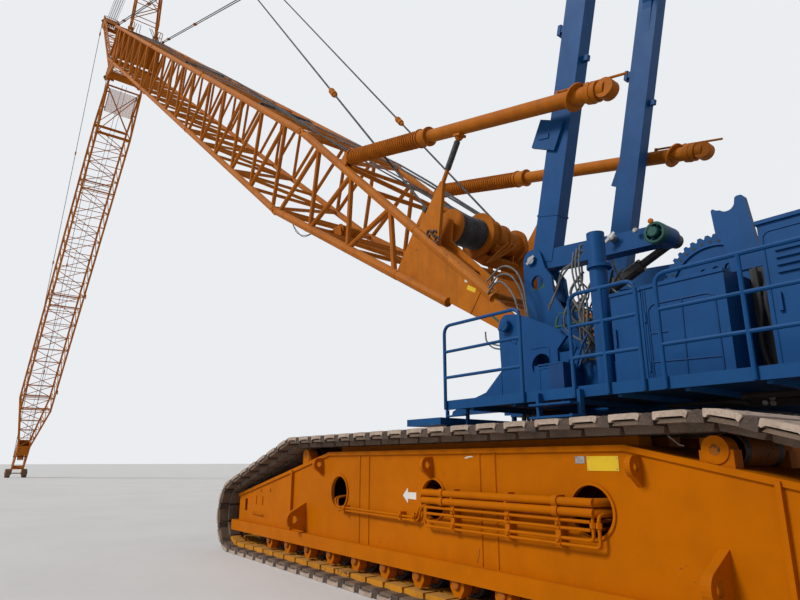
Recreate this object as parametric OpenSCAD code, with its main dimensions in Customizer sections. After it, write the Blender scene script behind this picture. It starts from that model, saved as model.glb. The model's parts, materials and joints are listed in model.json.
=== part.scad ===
// Lattice-boom crawler crane with a luffing jib, as a 1:2 scale model.
// Millimetres of the model. The origin is on the ground below the slewing axis,
// +X points to the front of the crawlers, +Y to the left and +Z up.

/* [Crawlers] */
// Distance between the centre lines of the two tracks
track_gauge = 4200; // [3900:10:4500]
// Length of a track over its shoes
track_length = 6080; // [5900:10:6400]
// Height of a track over its shoes
track_height = 930; // [910:5:980]
// Width of a track shoe
shoe_w = 750; // [650:10:850]
// Number of shoes in one track
shoe_count = 68; // [60:1:76]
// Thickness of a shoe plate
shoe_t = 44; // [34:1:48]
// Depth from the ground side of a shoe to the rail that the rollers run on
track_depth = 76; // [70:1:84]
// Radius of a track round its end wheels, over the shoes
track_end_r = 300; // [280:5:320]
// Length of the level upper run of a track
top_run = 3200; // [2900:10:3400]

/* [Crawler frames] */
// Width of the box of a crawler frame
frame_w = 500; // [460:10:540]
// Length of a crawler frame
frame_l = 5630; // [5560:10:5700]
// Height of the upper side of a crawler frame above the ground
frame_top = 815; // [800:1:830]
// Length of the level upper side of a crawler frame
frame_top_l = 2400; // [2200:10:2600]
// Height of a crawler frame's upper edge at its ends
frame_end_top = 475; // [460:1:500]
// Height of the underside of a crawler frame above the ground
frame_bottom = 248; // [240:1:256]
// Thickness of the plates of a crawler frame
frame_t = 16; // [10:1:24]
// Height of the flange along a crawler frame's lower edge
flange_h = 78; // [70:1:84]
// Amount by which that flange stands out
flange_out = 44; // [30:1:60]
// Radius of the round holes in a crawler frame
frame_hole_r = 104; // [80:1:120]
// Height of those holes above the ground
frame_hole_z = 552; // [530:1:570]
// Number of bottom rollers in one crawler
roller_count = 14; // [12:1:15]
// Distance from one bottom roller to the next
roller_pitch = 325; // [300:5:335]
// Radius of a bottom roller
roller_r = 74; // [70:1:80]

/* [Carbody and slewing ring] */
// Radius of the pedestal under the slewing ring
pedestal_r = 930; // [860:10:980]
// Height of the upper side of the carbody above the ground
carbody_top = 985; // [970:1:1000]
// Width of a cross beam of the carbody
beam_w = 520; // [440:10:600]
// Distance from the slewing axis to the centre line of a cross beam
beam_x = 900; // [800:10:1000]
// Outer radius of the slewing ring
ring_r = 870; // [820:10:900]
// Height of the slewing ring
ring_h = 86; // [80:1:100]

/* [Upperworks] */
// Angle by which the upperworks are slewed to the left
park_slew = 2.7; // [0:0.1:5]
// Height of the underside of the main frame above the ground
main_bottom = 1076; // [1074:1:1090]
// Half of the width of the main frame
main_hw = 850; // [820:5:880]
// Distance from the slewing axis to the rear end of the main frame
main_rear = 2650; // [2550:10:2750]
// Height of the upper side of the main frame above the ground
main_top = 1560; // [1520:10:1600]
// Thickness of the side plates of the main frame
main_t = 30; // [20:1:40]
// Height of the walkways above the ground
deck_z = 1150; // [1140:1:1165]
// Distance from the middle to the outer edge of a walkway
deck_y = 1765; // [1700:5:1800]
// Height of a handrail above its walkway
rail_h = 545; // [500:5:560]
// Radius of a handrail's tube
rail_r = 12; // [10:1:16]

/* [Boom] */
// Distance of the boom's foot pin in front of the slewing axis
boom_x = 860; // [840:5:900]
// Height of the boom's foot pin above the ground
boom_z = 1850; // [1830:5:1880]
// Angle of the boom above the horizontal
boom_angle = 37.1; // [35:0.1:40]
// Length of the foot section from its pin
foot_l = 5100; // [4900:10:5300]
// Length of one boom section
section_l = 5750; // [5500:10:5900]
// Distance between the boom's left and right chords
boom_w = 1700; // [1600:10:1800]
// Distance between the left and right chords at the foot pin
foot_w = 1470; // [1450:5:1500]
// Distance from the foot pin's line up to the upper chords
boom_up = 555; // [500:5:600]
// Distance from the foot pin's line down to the lower chords
boom_down = 665; // [600:5:700]
// Radius of the boom's chord tubes
chord_r = 56; // [50:1:70]
// Radius of the boom's lacing tubes
lace_r = 33; // [20:1:38]
// Bays of lacing in one boom section
section_bays = 5; // [4:1:7]

/* [Boom head and masts] */
// Length of the boom head beyond the last section
head_l = 1400; // [1200:10:1600]
// Distance from the foot pin to the jib pin, along the boom
jib_pin_along = 24065; // [24000:5:24150]
// Distance of the jib pin below the foot pin's line
jib_pin_down = 1400; // [1350:5:1450]
// Distance from the foot pin to the rear mast's pin, along the boom
rear_mast_along = 23325; // [23200:5:23400]
// Angle between the boom and the rear mast
rear_mast_angle = 61; // [58:0.5:66]
// Length of the rear mast
rear_mast_l = 6500; // [6300:10:6700]
// Angle between the jib and the front mast
front_mast_angle = 98.4; // [94:0.1:102]
// Length of the front mast
front_mast_l = 8050; // [7900:10:8200]

/* [Jib] */
// Length of the jib from its pin to the axle of its wheels
jib_l = 20060; // [20000:5:20100]
// Length of the jib foot from its pin to the first section
jib_foot_l = 4600; // [4400:10:4800]
// Distance from the jib pin to the end of the jib foot's taper
jib_taper_l = 2050; // [1900:10:2300]
// Length of the jib head from the last section to the axle of its wheels
jib_head_l = 4260; // [4000:10:4500]
// Length of the plated tip of the jib head
jib_tip_l = 1860; // [1600:10:2000]
// Distance between the jib's left and right chords
jib_w = 1240; // [1150:10:1300]
// Distance between the jib's upper and lower chords
jib_d = 1000; // [900:10:1100]
// Radius of the jib's chord tubes
jib_chord_r = 40; // [34:1:46]
// Radius of the jib's lacing tubes
jib_lace_r = 17; // [14:1:22]
// Radius of the wheels at the jib's tip
tip_wheel_r = 210; // [180:5:230]
// Distance between the middles of the two wheels at the jib's tip
tip_wheel_w = 720; // [680:5:800]

/* [A-frame and backstops] */
// Distance of the A-frame's front pin in front of the slewing axis
aframe_x = 730; // [720:5:740]
// Height of the A-frame's front pin above the ground
aframe_z = 2440; // [2430:5:2450]
// Distance from the middle to the centre line of an A-frame leg
aframe_y = 545; // [530:5:560]
// Angle by which the A-frame leans back from the vertical
aframe_lean = 13.5; // [12:0.5:15]
// Length of the A-frame's legs
aframe_l = 5300; // [5000:10:5600]
// Depth of an A-frame leg, seen from the side
leg_d = 215; // [190:5:240]
// Width of an A-frame leg, seen from the front
leg_w = 140; // [120:5:160]
// Distance from the middle to the centre line of a backstop tube
backstop_y = 790; // [785:1:800]
// Length of a backstop
backstop_l = 3850; // [3800:10:3900]
// Radius of a backstop's tube
backstop_r = 68; // [60:1:74]
// Angle between a backstop and the boom
backstop_angle = 22.9; // [22:0.1:24]
// Distance from the foot pin to a backstop's pin, along the boom
backstop_along = 3680; // [3600:5:3750]

/* [Cab and counterweight] */
// Width of the cab
cab_w = 560; // [520:5:600]
// Length of the cab
cab_l = 1000; // [950:10:1050]
// Height of the cab
cab_h = 1080; // [1020:10:1120]
// Thickness of the cab's walls
cab_t = 22; // [16:1:30]
// Number of counterweight slabs in each stack
slab_count = 8; // [6:1:9]
// Height of one counterweight slab
slab_h = 170; // [150:5:180]
// Length of a counterweight slab from front to back
slab_l = 800; // [700:10:900]
// Width of a counterweight slab
slab_w = 1050; // [950:10:1100]

/* [Hidden] */

golden = [0.84, 0.47, 0.05];
lattice_orange = [0.72, 0.36, 0.07];
machine_blue = [0.10, 0.27, 0.52];
steel_grey = [0.32, 0.30, 0.28];
rope_grey = [0.25, 0.25, 0.26];
glass_tint = [0.45, 0.55, 0.62];

running_gap = 6;
seat_gap = 0.3;
track_y = track_gauge / 2;
end_wheel_x = track_length / 2 - track_end_r;
end_wheel_r = track_end_r - track_depth;
boom_l = foot_l + 3 * section_l;
jib_pin_x = boom_x + jib_pin_along * cos(boom_angle) + jib_pin_down * sin(boom_angle);
jib_pin_z = boom_z + jib_pin_along * sin(boom_angle) - jib_pin_down * cos(boom_angle);
// The jib slopes down until its wheels stand on the ground
jib_angle = asin((jib_pin_z - tip_wheel_r) / jib_l);

// Places

// A child drawn in the upperworks' own axes
module upper() {
    rotate([0, 0, park_slew]) children();
}

// A child drawn with +X along the boom and its origin at the foot pin
module on_boom() {
    upper() translate([boom_x, 0, boom_z]) rotate([0, -boom_angle, 0]) children();
}

// A child drawn with +X along the jib and its origin at the jib pin
module on_jib() {
    upper() translate([jib_pin_x, 0, jib_pin_z]) rotate([0, jib_angle, 0]) children();
}

// A child drawn on both sides of the middle
module both_sides() {
    children();
    mirror([0, 1, 0]) children();
}

// A child drawn at a crawler's middle, side 1 for left and -1 for right
module at_track(side) {
    translate([0, side * track_y, 0]) scale([1, side, 1]) children();
}

// Plain forms

// A straight tube between two points
module rod(a, b, r, sides = 8) {
    v = b - a;
    l = norm(v);
    translate(a) rotate([0, acos(v[2] / l), atan2(v[1], v[0])]) cylinder(h = l, r = r, $fn = sides);
}

// A round bar along Y about its middle
module bar_y(r, l, sides = 32) {
    rotate([90, 0, 0]) cylinder(h = l, r = r, center = true, $fn = sides);
}

// A plate in the XZ plane with its middle plane at y
module plate_y(points, y, t) {
    translate([0, y + t / 2, 0]) rotate([90, 0, 0]) linear_extrude(t) polygon(points);
}

// A box given by its low and high corners
module block(low, high) {
    translate(low) cube(high - low);
}

// A cable with an eye round a pin along Y at each of its ends
module stay(a, b, r, pin_a, pin_b, eye_t = 26) {
    difference() {
        union() {
            rod(a, b, r, 8);
            translate(a) bar_y(pin_a * 2, eye_t);
            translate(b) bar_y(pin_b * 2, eye_t);
        }
        translate(a) bar_y(pin_a + seat_gap, eye_t * 3);
        translate(b) bar_y(pin_b + seat_gap, eye_t * 3);
    }
}

// Ends, as [x, z], of the line that touches circle a and then circle b on the left of the way from a to b
function tangent(a, ra, b, rb) =
    let (l = norm(b - a), u = (b - a) / l, f = asin((ra - rb) / l),
         m = [-u[1], u[0]] * cos(f) + u * sin(f))
    [a + ra * m, b + rb * m];

// Crawlers

// The belt of a track as circles [x, z, radius], front bottom first
belt_k = 260;
belt_wheels = [
    [end_wheel_x, track_end_r, track_end_r],
    [top_run / 2, track_height - belt_k, belt_k],
    [-top_run / 2, track_height - belt_k, belt_k],
    [-end_wheel_x, track_end_r, track_end_r],
];

// Angle of the outward normal on the straight run from wheel i to the next
function run_angle(i) =
    let (a = belt_wheels[i], b = belt_wheels[(i + 1) % 4],
         d = [b[0] - a[0], b[1] - a[1]])
    atan2(d[1], d[0]) - 90 + asin((a[2] - b[2]) / norm(d));

// Points round the belt, moved inwards by inset
function belt_points(inset, steps = 8) = [
    for (i = [0:3])
        let (from = run_angle((i + 3) % 4), turn = (run_angle(i) - from + 720) % 360)
        for (s = [0:steps])
            let (a = from + turn * s / steps, w = belt_wheels[i])
            [w[0] + (w[2] - inset) * cos(a), w[1] + (w[2] - inset) * sin(a)]
];

belt_line = belt_points(0, 16);
belt_loop = concat(belt_line, [belt_line[0]]);
function run_lengths(p, i = 1, sum = 0, out = [0]) =
    i >= len(p) ? out
    : let (s = sum + norm(p[i] - p[i - 1])) run_lengths(p, i + 1, s, concat(out, [s]));
belt_sum = run_lengths(belt_loop);
belt_length = belt_sum[len(belt_sum) - 1];
belt_x = [for (i = [0:len(belt_loop) - 1]) [belt_sum[i], belt_loop[i][0]]];
belt_z = [for (i = [0:len(belt_loop) - 1]) [belt_sum[i], belt_loop[i][1]]];
function belt_at(s) = let (u = (s + 2 * belt_length) % belt_length) [lookup(u, belt_x), lookup(u, belt_z)];
function belt_in(s) = let (d = belt_at(s + 2) - belt_at(s - 2), n = [-d[1], d[0]]) n / norm(n);

// Outline of the shoes: each shoe is a raised slab with rounded ends and a low gap behind it
shoe_step = 24;
shoe_profile = [[0, 0], [0.03, -4], [0.6, -4], [0.66, 2], [0.7, 14], [0.73, shoe_step], [0.95, shoe_step], [0.99, 10]];
shoe_outline = [
    for (i = [0:shoe_count - 1])
        let (pitch = belt_length / shoe_count)
        for (c = shoe_profile)
            let (s = (i + c[0]) * pitch) belt_at(s) + max(0, c[1] + 4) * belt_in(s)
];

module track(side) {
    color(steel_grey) at_track(side) rotate([90, 0, 0]) {
        linear_extrude(shoe_w, center = true) difference() {
            polygon(shoe_outline);
            polygon(belt_points(shoe_t));
        }
        for (y = [-1, 1])
            translate([0, 0, y * frame_w * 0.22]) linear_extrude(frame_w * 0.24, center = true) difference() {
                polygon(belt_points(shoe_t - 4));
                polygon(belt_points(track_depth));
            }
    }
}

// Outline of a crawler frame, inset by t on all sides
function frame_outline(t) = [
    [-frame_l / 2 + t, frame_bottom + t], [frame_l / 2 - t, frame_bottom + t],
    [frame_l / 2 - t, frame_end_top - t], [frame_top_l / 2, frame_top - t],
    [-frame_top_l / 2, frame_top - t], [-frame_l / 2 + t, frame_end_top - t],
];
frame_holes = [1050, 35, -1015];
frame_ears = [1300, 50, -1250];
frame_lugs = [1550, -1550];
lug_z = 345;
lug_out = 150;
lug_t = 36;
lug_bore_r = 28;
ear_z = 735;
ear_out = 78;
ear_t = 26;
ear_bore_r = 21;
axle_z = track_depth + roller_r;
axle_r = 26;
cap_w = 104;
cap_drop = 60;
wheel_room = 20;
skid_h = track_height - track_depth - frame_top - seat_gap;
return_roller_x = 1560;
return_roller_r = 62;
return_roller_z = track_height - track_depth - return_roller_r;

function frame_slope_z(x) =
    frame_top - (abs(x) - frame_top_l / 2) * (frame_top - frame_end_top) / (frame_l / 2 - frame_top_l / 2);

// A lug that stands out from a plate at y = 0, with its bore along X at height z
module wing_lug(x, z, out, nose, t, up, down) {
    translate([x - t / 2, 0, 0]) rotate([90, 0, 90]) linear_extrude(t) polygon([
        [-4, z + up],
        for (a = [60:-15:-75]) [out - nose + nose * cos(a), z + nose * sin(a)],
        [-4, z - down],
    ]);
}

module track_frame(side) {
    half = frame_w / 2;
    color(golden) at_track(side) difference() {
        union() {
            // box
            difference() {
                rotate([90, 0, 0]) linear_extrude(frame_w, center = true) polygon(frame_outline(0));
                rotate([90, 0, 0]) linear_extrude(frame_w - 2 * frame_t, center = true)
                    polygon(frame_outline(frame_t * 1.6));
            }
            // flanges along the lower edges and the upper edge of the outer plate
            for (y = [-1, 1]) {
                block([-frame_l / 2 - 60, y * (half - 10) - 54, frame_bottom - flange_h],
                      [frame_l / 2 + 60, y * (half - 10) + 54, frame_bottom + 6]);
                block([-frame_top_l / 2 - 6, y * (half - 4) - 16, frame_top - 22],
                      [frame_top_l / 2 + 6, y * (half - 4) + 16, frame_top + 2]);
            }
            for (x = [-1, 1], y = [-1, 1])
                translate([0, y * (half - 4) + 16, 0]) rotate([90, 0, 0]) linear_extrude(32) polygon([
                    [x * frame_top_l / 2, frame_top + 1], [x * (frame_l / 2 + 4), frame_end_top + 1],
                    [x * (frame_l / 2 + 4), frame_end_top - 23], [x * frame_top_l / 2, frame_top - 23]]);
            // rims of the round holes
            for (x = frame_holes)
                translate([x, half + 2, frame_hole_z]) bar_y(frame_hole_r + 12, 12);
            // ribs of the end posts, seam strips and end plates
            for (x = [1760, -1760])
                block([x - 9, half - 2, frame_bottom], [x + 9, half + 22, frame_slope_z(x) - 8]);
            for (x = [800, 690, -450, -340])
                block([x - 8, half - 2, frame_bottom], [x + 8, half + 5, frame_top - 8]);
            // ears with their bores
            translate([0, half, 0]) {
                for (x = frame_ears)
                    wing_lug(x, ear_z, ear_out, 46, ear_t, 44, 84);
            }
            // carriers of the bottom rollers' axles
            for (i = [0:roller_count - 1], y = [-1, 1])
                let (x = (i - (roller_count - 1) / 2) * roller_pitch)
                plate_y([[x - cap_w / 2, frame_bottom - flange_h + 2], [x - cap_w / 2, axle_z - 20],
                         [x - cap_w / 4, axle_z - cap_drop], [x + cap_w / 4, axle_z - cap_drop],
                         [x + cap_w / 2, axle_z - 20], [x + cap_w / 2, frame_bottom - flange_h + 2]],
                        y * (half - 14), 56);
            // rails that the upper run slides on
            for (y = [-1, 1])
                block([-frame_top_l / 2, y * 110 - 45, frame_top - 2], [frame_top_l / 2, y * 110 + 45, frame_top + skid_h]);
            // bearing blocks of the return rollers
            for (x = [-1, 1], y = [-1, 1]) {
                block([x * return_roller_x - 62, y * 215 - 30, frame_slope_z(return_roller_x) - 60],
                      [x * return_roller_x + 62, y * 215 + 30, return_roller_z]);
                translate([x * return_roller_x, y * 215, return_roller_z]) bar_y(50, 72);
            }
        }
        for (x = frame_holes)
            translate([x, 0, frame_hole_z]) bar_y(frame_hole_r, frame_w * 2);
        for (x = frame_ears)
            translate([x, half + ear_out - 46, ear_z]) rotate([0, 90, 0])
                cylinder(h = 2 * ear_t, r = ear_bore_r, center = true, $fn = 32);
        for (i = [0:roller_count - 1])
            translate([(i - (roller_count - 1) / 2) * roller_pitch, 0, axle_z])
                bar_y(axle_r + seat_gap, frame_w + 60);
        for (x = [-1, 1]) {
            // slots of the track tensioner
            block([x * (frame_l / 2 - 150) - 26, half - 60, 340], [x * (frame_l / 2 - 150) + 26, half + 60, 440]);
            translate([x * return_roller_x, 0, return_roller_z]) {
                bar_y(20 + seat_gap, frame_w + 60);
                bar_y(return_roller_r + running_gap, 330);
            }
            // room for the end wheels
            translate([x * end_wheel_x, 0, track_end_r]) bar_y(end_wheel_r + 40, frame_w - 2 * frame_t - wheel_room);
        }
    }
}

// Lugs low on the outer plates, for tying the crane down
module tie_lugs() {
    bore_y = lug_out - 62;
    color(golden) for (side = [-1, 1], x = frame_lugs)
        at_track(side) translate([0, frame_w / 2, 0]) difference() {
            wing_lug(x, lug_z, lug_out, 62, lug_t, 120, 86);
            translate([x, bore_y, lug_z]) rotate([0, 90, 0])
                cylinder(h = 2 * lug_t, r = lug_bore_r, center = true, $fn = 32);
            block([x - lug_t, -10, 0], [x + lug_t, seat_gap, track_height]);
        }
}

module rollers() {
    color(golden) for (side = [-1, 1]) at_track(side) {
        for (i = [0:roller_count - 1])
            translate([(i - (roller_count - 1) / 2) * roller_pitch, 0, axle_z]) {
                bar_y(roller_r, 300);
                bar_y(roller_r - 22, 360);
                bar_y(axle_r, frame_w + 40);
            }
        for (x = [-1, 1])
            translate([x * return_roller_x, 0, return_roller_z]) {
                bar_y(return_roller_r - seat_gap, 300);
                bar_y(20, frame_w);
            }
    }
}

module end_wheels() {
    teeth = 11;
    color(steel_grey) for (side = [-1, 1]) at_track(side) {
        translate([end_wheel_x, 0, track_end_r]) {
            bar_y(end_wheel_r - seat_gap, 90);
            bar_y(90, frame_w - 2 * frame_t - wheel_room - 2 * seat_gap);
        }
        translate([-end_wheel_x, 0, track_end_r]) {
            rotate([90, 0, 0]) linear_extrude(90, center = true) polygon([
                for (i = [0:teeth - 1]) for (c = [[0, -26], [0.25, -26], [0.42, -seat_gap], [0.83, -seat_gap]])
                    let (a = (i + c[0]) * 360 / teeth) (end_wheel_r + c[1]) * [cos(a), sin(a)]
            ]);
            bar_y(110, frame_w - 2 * frame_t - wheel_room - 2 * seat_gap);
        }
    }
}

// Hydraulic pipes on the outer plate of each crawler frame
module track_pipes() {
    color(golden) for (side = [-1, 1]) at_track(side) translate([0, frame_w / 2, 0]) {
        for (z = [588, 548])
            rod([frame_holes[1] + 40, 42, z], [frame_holes[2] - 40, 42, z], 18, 12);
        for (z = [512, 480, 440, 415])
            rod([frame_holes[1] - 30, 36, z], [frame_holes[2] + 30, 36, z], 7, 8);
        for (x = [-170, -560, -860])
            block([x - 14, seat_gap, 402], [x + 14, 41, 612]);
    }
}

module carbody() {
    inner_plate = track_y - frame_w / 2 - seat_gap;
    beam_reach = track_y - shoe_w / 2 - 2 * running_gap;
    color(golden) {
        difference() {
            union() {
                cylinder(h = carbody_top, r = pedestal_r, $fn = 64);
                for (x = [-1, 1]) {
                    block([x * beam_x - beam_w / 2, -beam_reach, 420], [x * beam_x + beam_w / 2, beam_reach, carbody_top - 60]);
                    block([x * beam_x - beam_w / 2, -inner_plate, 420], [x * beam_x + beam_w / 2, inner_plate, frame_top - 30]);
                }
                block([-beam_x, -pedestal_r, 460], [beam_x, pedestal_r, carbody_top - 100]);
            }
            translate([0, 0, -1]) cylinder(h = 361, r = pedestal_r + 1, $fn = 64);
            translate([0, 0, -1]) cylinder(h = carbody_top + 2, r = 300, $fn = 48);
        }
    }
}

module slewing_ring() {
    color(steel_grey) difference() {
        translate([0, 0, carbody_top]) cylinder(h = ring_h, r = ring_r, $fn = 96);
        translate([0, 0, carbody_top - 1]) cylinder(h = ring_h + 2, r = ring_r - 130, $fn = 96);
    }
}

// Upperworks

// The erecting cylinders of the A-frame: side distance, front end and rear end as [x, z]
erect_y = 400;
erect_from = [240, 2070];
erect_to = [aframe_x - 1140, aframe_z - 90];

// The profile of a front bracket, which holds the boom's foot from outside
boss_r = 115;
bracket_front = boom_x + 95;
front_bracket = [
    [bracket_front - 25, main_bottom + 40], [bracket_front, boom_z],
    for (a = [0:20:80]) [boom_x - 10 + 105 * cos(a), boom_z + 105 * sin(a)],
    [740, 1930], [665, 1900], [255, 1695], [365, 1585], [365, main_top - 100], [200, main_bottom + 40],
];
// The profile of a side plate of the main frame
side_plate = [
    [boom_x - 160, main_bottom], [boom_x - 160, main_bottom + 200], [380, main_top], [-main_rear, main_top],
    [-main_rear, main_bottom],
];
// The profile of an inner bracket, which holds the boom's foot from inside
inner_bracket = [
    [boom_x + boss_r, main_bottom + 60], [boom_x + boss_r, boom_z],
    for (a = [0:20:180]) [boom_x + boss_r * cos(a), boom_z + boss_r * sin(a)],
    [boom_x - boss_r - 60, main_bottom + 60],
];
// The profile of a plate that carries the A-frame's front pin
aframe_pin_r = 42;
aframe_plate = [
    [boom_x - 30, main_bottom + 20], [boom_x - 30, 2070], [aframe_x + 100, aframe_z],
    for (a = [20:20:160]) [aframe_x + 100 * cos(a), aframe_z + 100 * sin(a)],
    [600, 2345], [540, 2260], [525, 2080], [330, 1760], [250, 1600], [200, main_bottom + 20],
];
aframe_plate_y = [aframe_y - leg_w / 2 - running_gap - 14, aframe_y + leg_w / 2 + running_gap + 14];
// The seat of a backstop's rear end, with two horns
seat_plate = [
    [-1135, 1890], [-1110, 2080], [-1080, 2355], [-1066, 2372], [-1040, 2375], [-1025, 2368],
    for (a = [180:20:320]) [-968 + 52 * cos(a), 2345 + 52 * sin(a)],
    [-905, 2318], [-880, 2335], [-870, 2322], [-880, 2160], [-920, 2080], [-945, 1890],
];
// Plates beside the front winch, with a row of holes along their upper edge
front_winch = [-775, 1850];
winch_plate_y = 720;
winch_plate_t = 26;
winch_plate = [
    [-560, main_top - 10], [-600, 1860], [-640, 1960], [-930, 2015], [-985, 1990], [-985, main_top - 10],
];

module main_frame() {
    color(machine_blue) upper() difference() {
        union() {
            both_sides() {
                plate_y(side_plate, main_hw - main_t / 2, main_t);
                plate_y(front_bracket, main_hw + 2, main_t);
                plate_y(inner_bracket, foot_w / 2 - 70, 28);
                for (y = aframe_plate_y)
                    plate_y(aframe_plate, y, 28);
                block([540, aframe_plate_y[0], 2050], [boom_x - 45, aframe_plate_y[1], 2074]);
                plate_y(seat_plate, backstop_y, 44);
                block([-1090, main_hw - 130, main_top - 20], [-960, main_hw - 50, 2060]);
                plate_y(winch_plate, winch_plate_y, winch_plate_t);
                translate([boom_x, foot_w / 2 + 25, boom_z]) bar_y(foot_pin_r, 270);
                translate([aframe_x, aframe_y, aframe_z]) bar_y(aframe_pin_r, 260);
                // lug of the erecting cylinder
                block([erect_from[0] - 60, erect_y - 62, main_top - 20], [erect_from[0] + 60, erect_y - 40, erect_from[1] + 40]);
                block([erect_from[0] - 60, erect_y + 40, main_top - 20], [erect_from[0] + 60, erect_y + 62, erect_from[1] + 40]);
                translate([erect_from[0], erect_y, erect_from[1]]) bar_y(20, 130);
            }
            // floor, top and cross plates
            block([-main_rear, -main_hw, main_bottom], [boom_x - 170, main_hw, main_bottom + 30]);
            block([-main_rear, -main_hw, main_top - 24], [370, main_hw, main_top]);
            for (x = [-main_rear, -2000, -1180, -420, 200])
                block([x, -main_hw + 5, main_bottom + 10], [x + 24, main_hw - 5, main_top - 4]);
            block([boom_x - 200, -main_hw, main_bottom + 20], [boom_x - 40, main_hw, main_bottom + 260]);
            translate([0, 0, carbody_top + ring_h + seat_gap])
                cylinder(h = 40, r = ring_r - 10, $fn = 96);
        }
        both_sides() {
            translate([525, main_hw, 1480]) bar_y(92, 200);
            translate([690, aframe_y, 2235]) bar_y(62, 300);
            // opening in the deck for the front winch
            block([front_winch[0] - 245, -10, main_top - 60], [front_winch[0] + 245, winch_plate_y - 40, main_top + 1]);
            for (x = [-660, -740, -820, -900])
                translate([x, winch_plate_y, 1930 - x * 0.03]) bar_y(24, 60);
            translate([-690, winch_plate_y, 1800]) bar_y(24, 60);
        }
    }
}

// A handrail section along X between two heights above the deck, with rounded upper corners
module handrail(x0, x1, y, middle_posts = []) {
    r = 55;
    foot = deck_z - 45;
    top = deck_z + rail_h;
    d = x1 > x0 ? 1 : -1;
    for (x = concat([x0, x1], middle_posts))
        rod([x, y, foot], [x, y, x == x0 || x == x1 ? top - r : top], rail_r, 8);
    rod([x0 + d * r, y, top], [x1 - d * r, y, top], rail_r, 8);
    for (c = [[x0, d], [x1, -d]])
        for (a = [0:30:60])
            rod([c[0] + c[1] * r * (1 - cos(a)), y, top - r + r * sin(a)],
                [c[0] + c[1] * r * (1 - cos(a + 30)), y, top - r + r * sin(a + 30)], rail_r, 8);
    for (z = [0.37, 0.68])
        rod([x0, y, foot + (top - foot) * z], [x1, y, foot + (top - foot) * z], rail_r * 0.9, 8);
}

deck_edge = deck_y - 2 * rail_r;
module deck(front) {
    block([-main_rear, main_hw + seat_gap, deck_z - 34], [-20, deck_edge, deck_z]);
    block([-20, main_hw + 60, deck_z - 34], [front, deck_edge, deck_z]);
    block([-main_rear, deck_edge - 25, deck_z - 48], [front, deck_edge, deck_z + 14]);
}

module walkways() {
    side = main_hw + main_t / 2 + 2 + seat_gap;
    color(machine_blue) upper() {
        deck(700);
        block([800, side, 1010], [1180, 1690, 1060]);
        block([800, side, 1050], [820, side + 40, main_bottom + 50]);
        block([boom_x - 190, side, main_bottom + 20], [820, main_hw + 66, main_bottom + 60]);
        mirror([0, 1, 0]) deck(1380);
    }
}

// Handrails on the outer edges of the walkways, and the steps below the left one
module handrails() {
    rail_y = deck_edge + rail_r + seat_gap;
    color(machine_blue) upper() {
        both_sides() {
            handrail(-825, -400, rail_y, [-615]);
            handrail(-main_rear + 40, -940, rail_y, [for (i = [1:3]) -940 - i * (main_rear - 980) / 4]);
        }
        handrail(-25, 675, rail_y);
        for (x = [-440, -150])
            block([x - 10, deck_y - 2 * rail_r + seat_gap, 990], [x + 10, deck_y + 14, deck_z - 6]);
        for (z = [990, 1062])
            block([-440, deck_y - 2 * rail_r + seat_gap, z], [-150, deck_y + 95, z + 12]);
        block([-450, deck_y - 10, 990], [-430, deck_y + 95, 1006]);
    }
}

// Cabinets on both sides, each row: front x, rear x, lower z, upper z, outer y
cabinet_rows = [
    [375, 150, deck_z, 1430, 1100],
    [-360, -570, deck_z, 1795, 1250],
    [-575, -1075, deck_z, 1800, 1250],
];
module cabinets() {
    color(machine_blue) upper() both_sides()
        for (c = cabinet_rows)
            block([c[1], main_hw + 20, c[2] + seat_gap], [c[0], c[4], c[3]]);
}

module engine_house() {
    color(machine_blue) upper() both_sides()
        block([-main_rear + 20, main_hw + 20, deck_z + seat_gap], [-1280, 1250, 2000]);
}

// The front winch between its plates, with toothed flanges, and the rear winch on feet of its own
rear_winch = [-1700, 1940];
winch_r = 210;
front_flange_r = 375;
module winch_drums() {
    teeth = 44;
    color(machine_blue) upper() {
        translate([front_winch[0], 0, front_winch[1]]) {
            bar_y(winch_r, 1240);
            bar_y(64, 2 * (winch_plate_y - winch_plate_t / 2 - seat_gap));
            for (y = [-1, 1])
                translate([0, y * 640, 0]) rotate([90, 0, 0]) linear_extrude(40, center = true) polygon([
                    for (i = [0:teeth - 1]) for (c = [[0, -20], [0.3, -20], [0.45, 0], [0.85, 0]])
                        let (a = (i + c[0]) * 360 / teeth) (front_flange_r + c[1]) * [cos(a), sin(a)]
                ]);
        }
        translate([rear_winch[0], 0, rear_winch[1]]) {
            bar_y(winch_r, 900);
            bar_y(60, 1000);
            for (y = [-1, 1]) {
                translate([0, y * 450, 0]) bar_y(340, 36);
                block([-120, y * 490 - 14, main_top - rear_winch[1] + seat_gap], [120, y * 490 + 14, 60]);
            }
        }
    }
}

module support_posts() {
    color(machine_blue) upper() both_sides() {
        translate([-165, 1050, deck_z + seat_gap]) cylinder(h = 1175, r = 62, $fn = 32);
        translate([-175, 1050, 2060]) cylinder(h = 24, r = 86, $fn = 32);
        block([-240, main_hw + seat_gap, deck_z + 60], [-90, 1050, 1400]);
    }
}

// A child drawn with +Z along the A-frame's legs and its origin at the front pin
module on_aframe() {
    upper() translate([aframe_x, 0, aframe_z]) rotate([0, -aframe_lean, 0]) children();
}

leg_front = leg_d * 0.15;
leg_rear = -leg_d * 0.85;
sheave_r = 210;
head_sheave_x = (leg_front + leg_rear) / 2;
head_sheave_z = aframe_l + 70;
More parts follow.
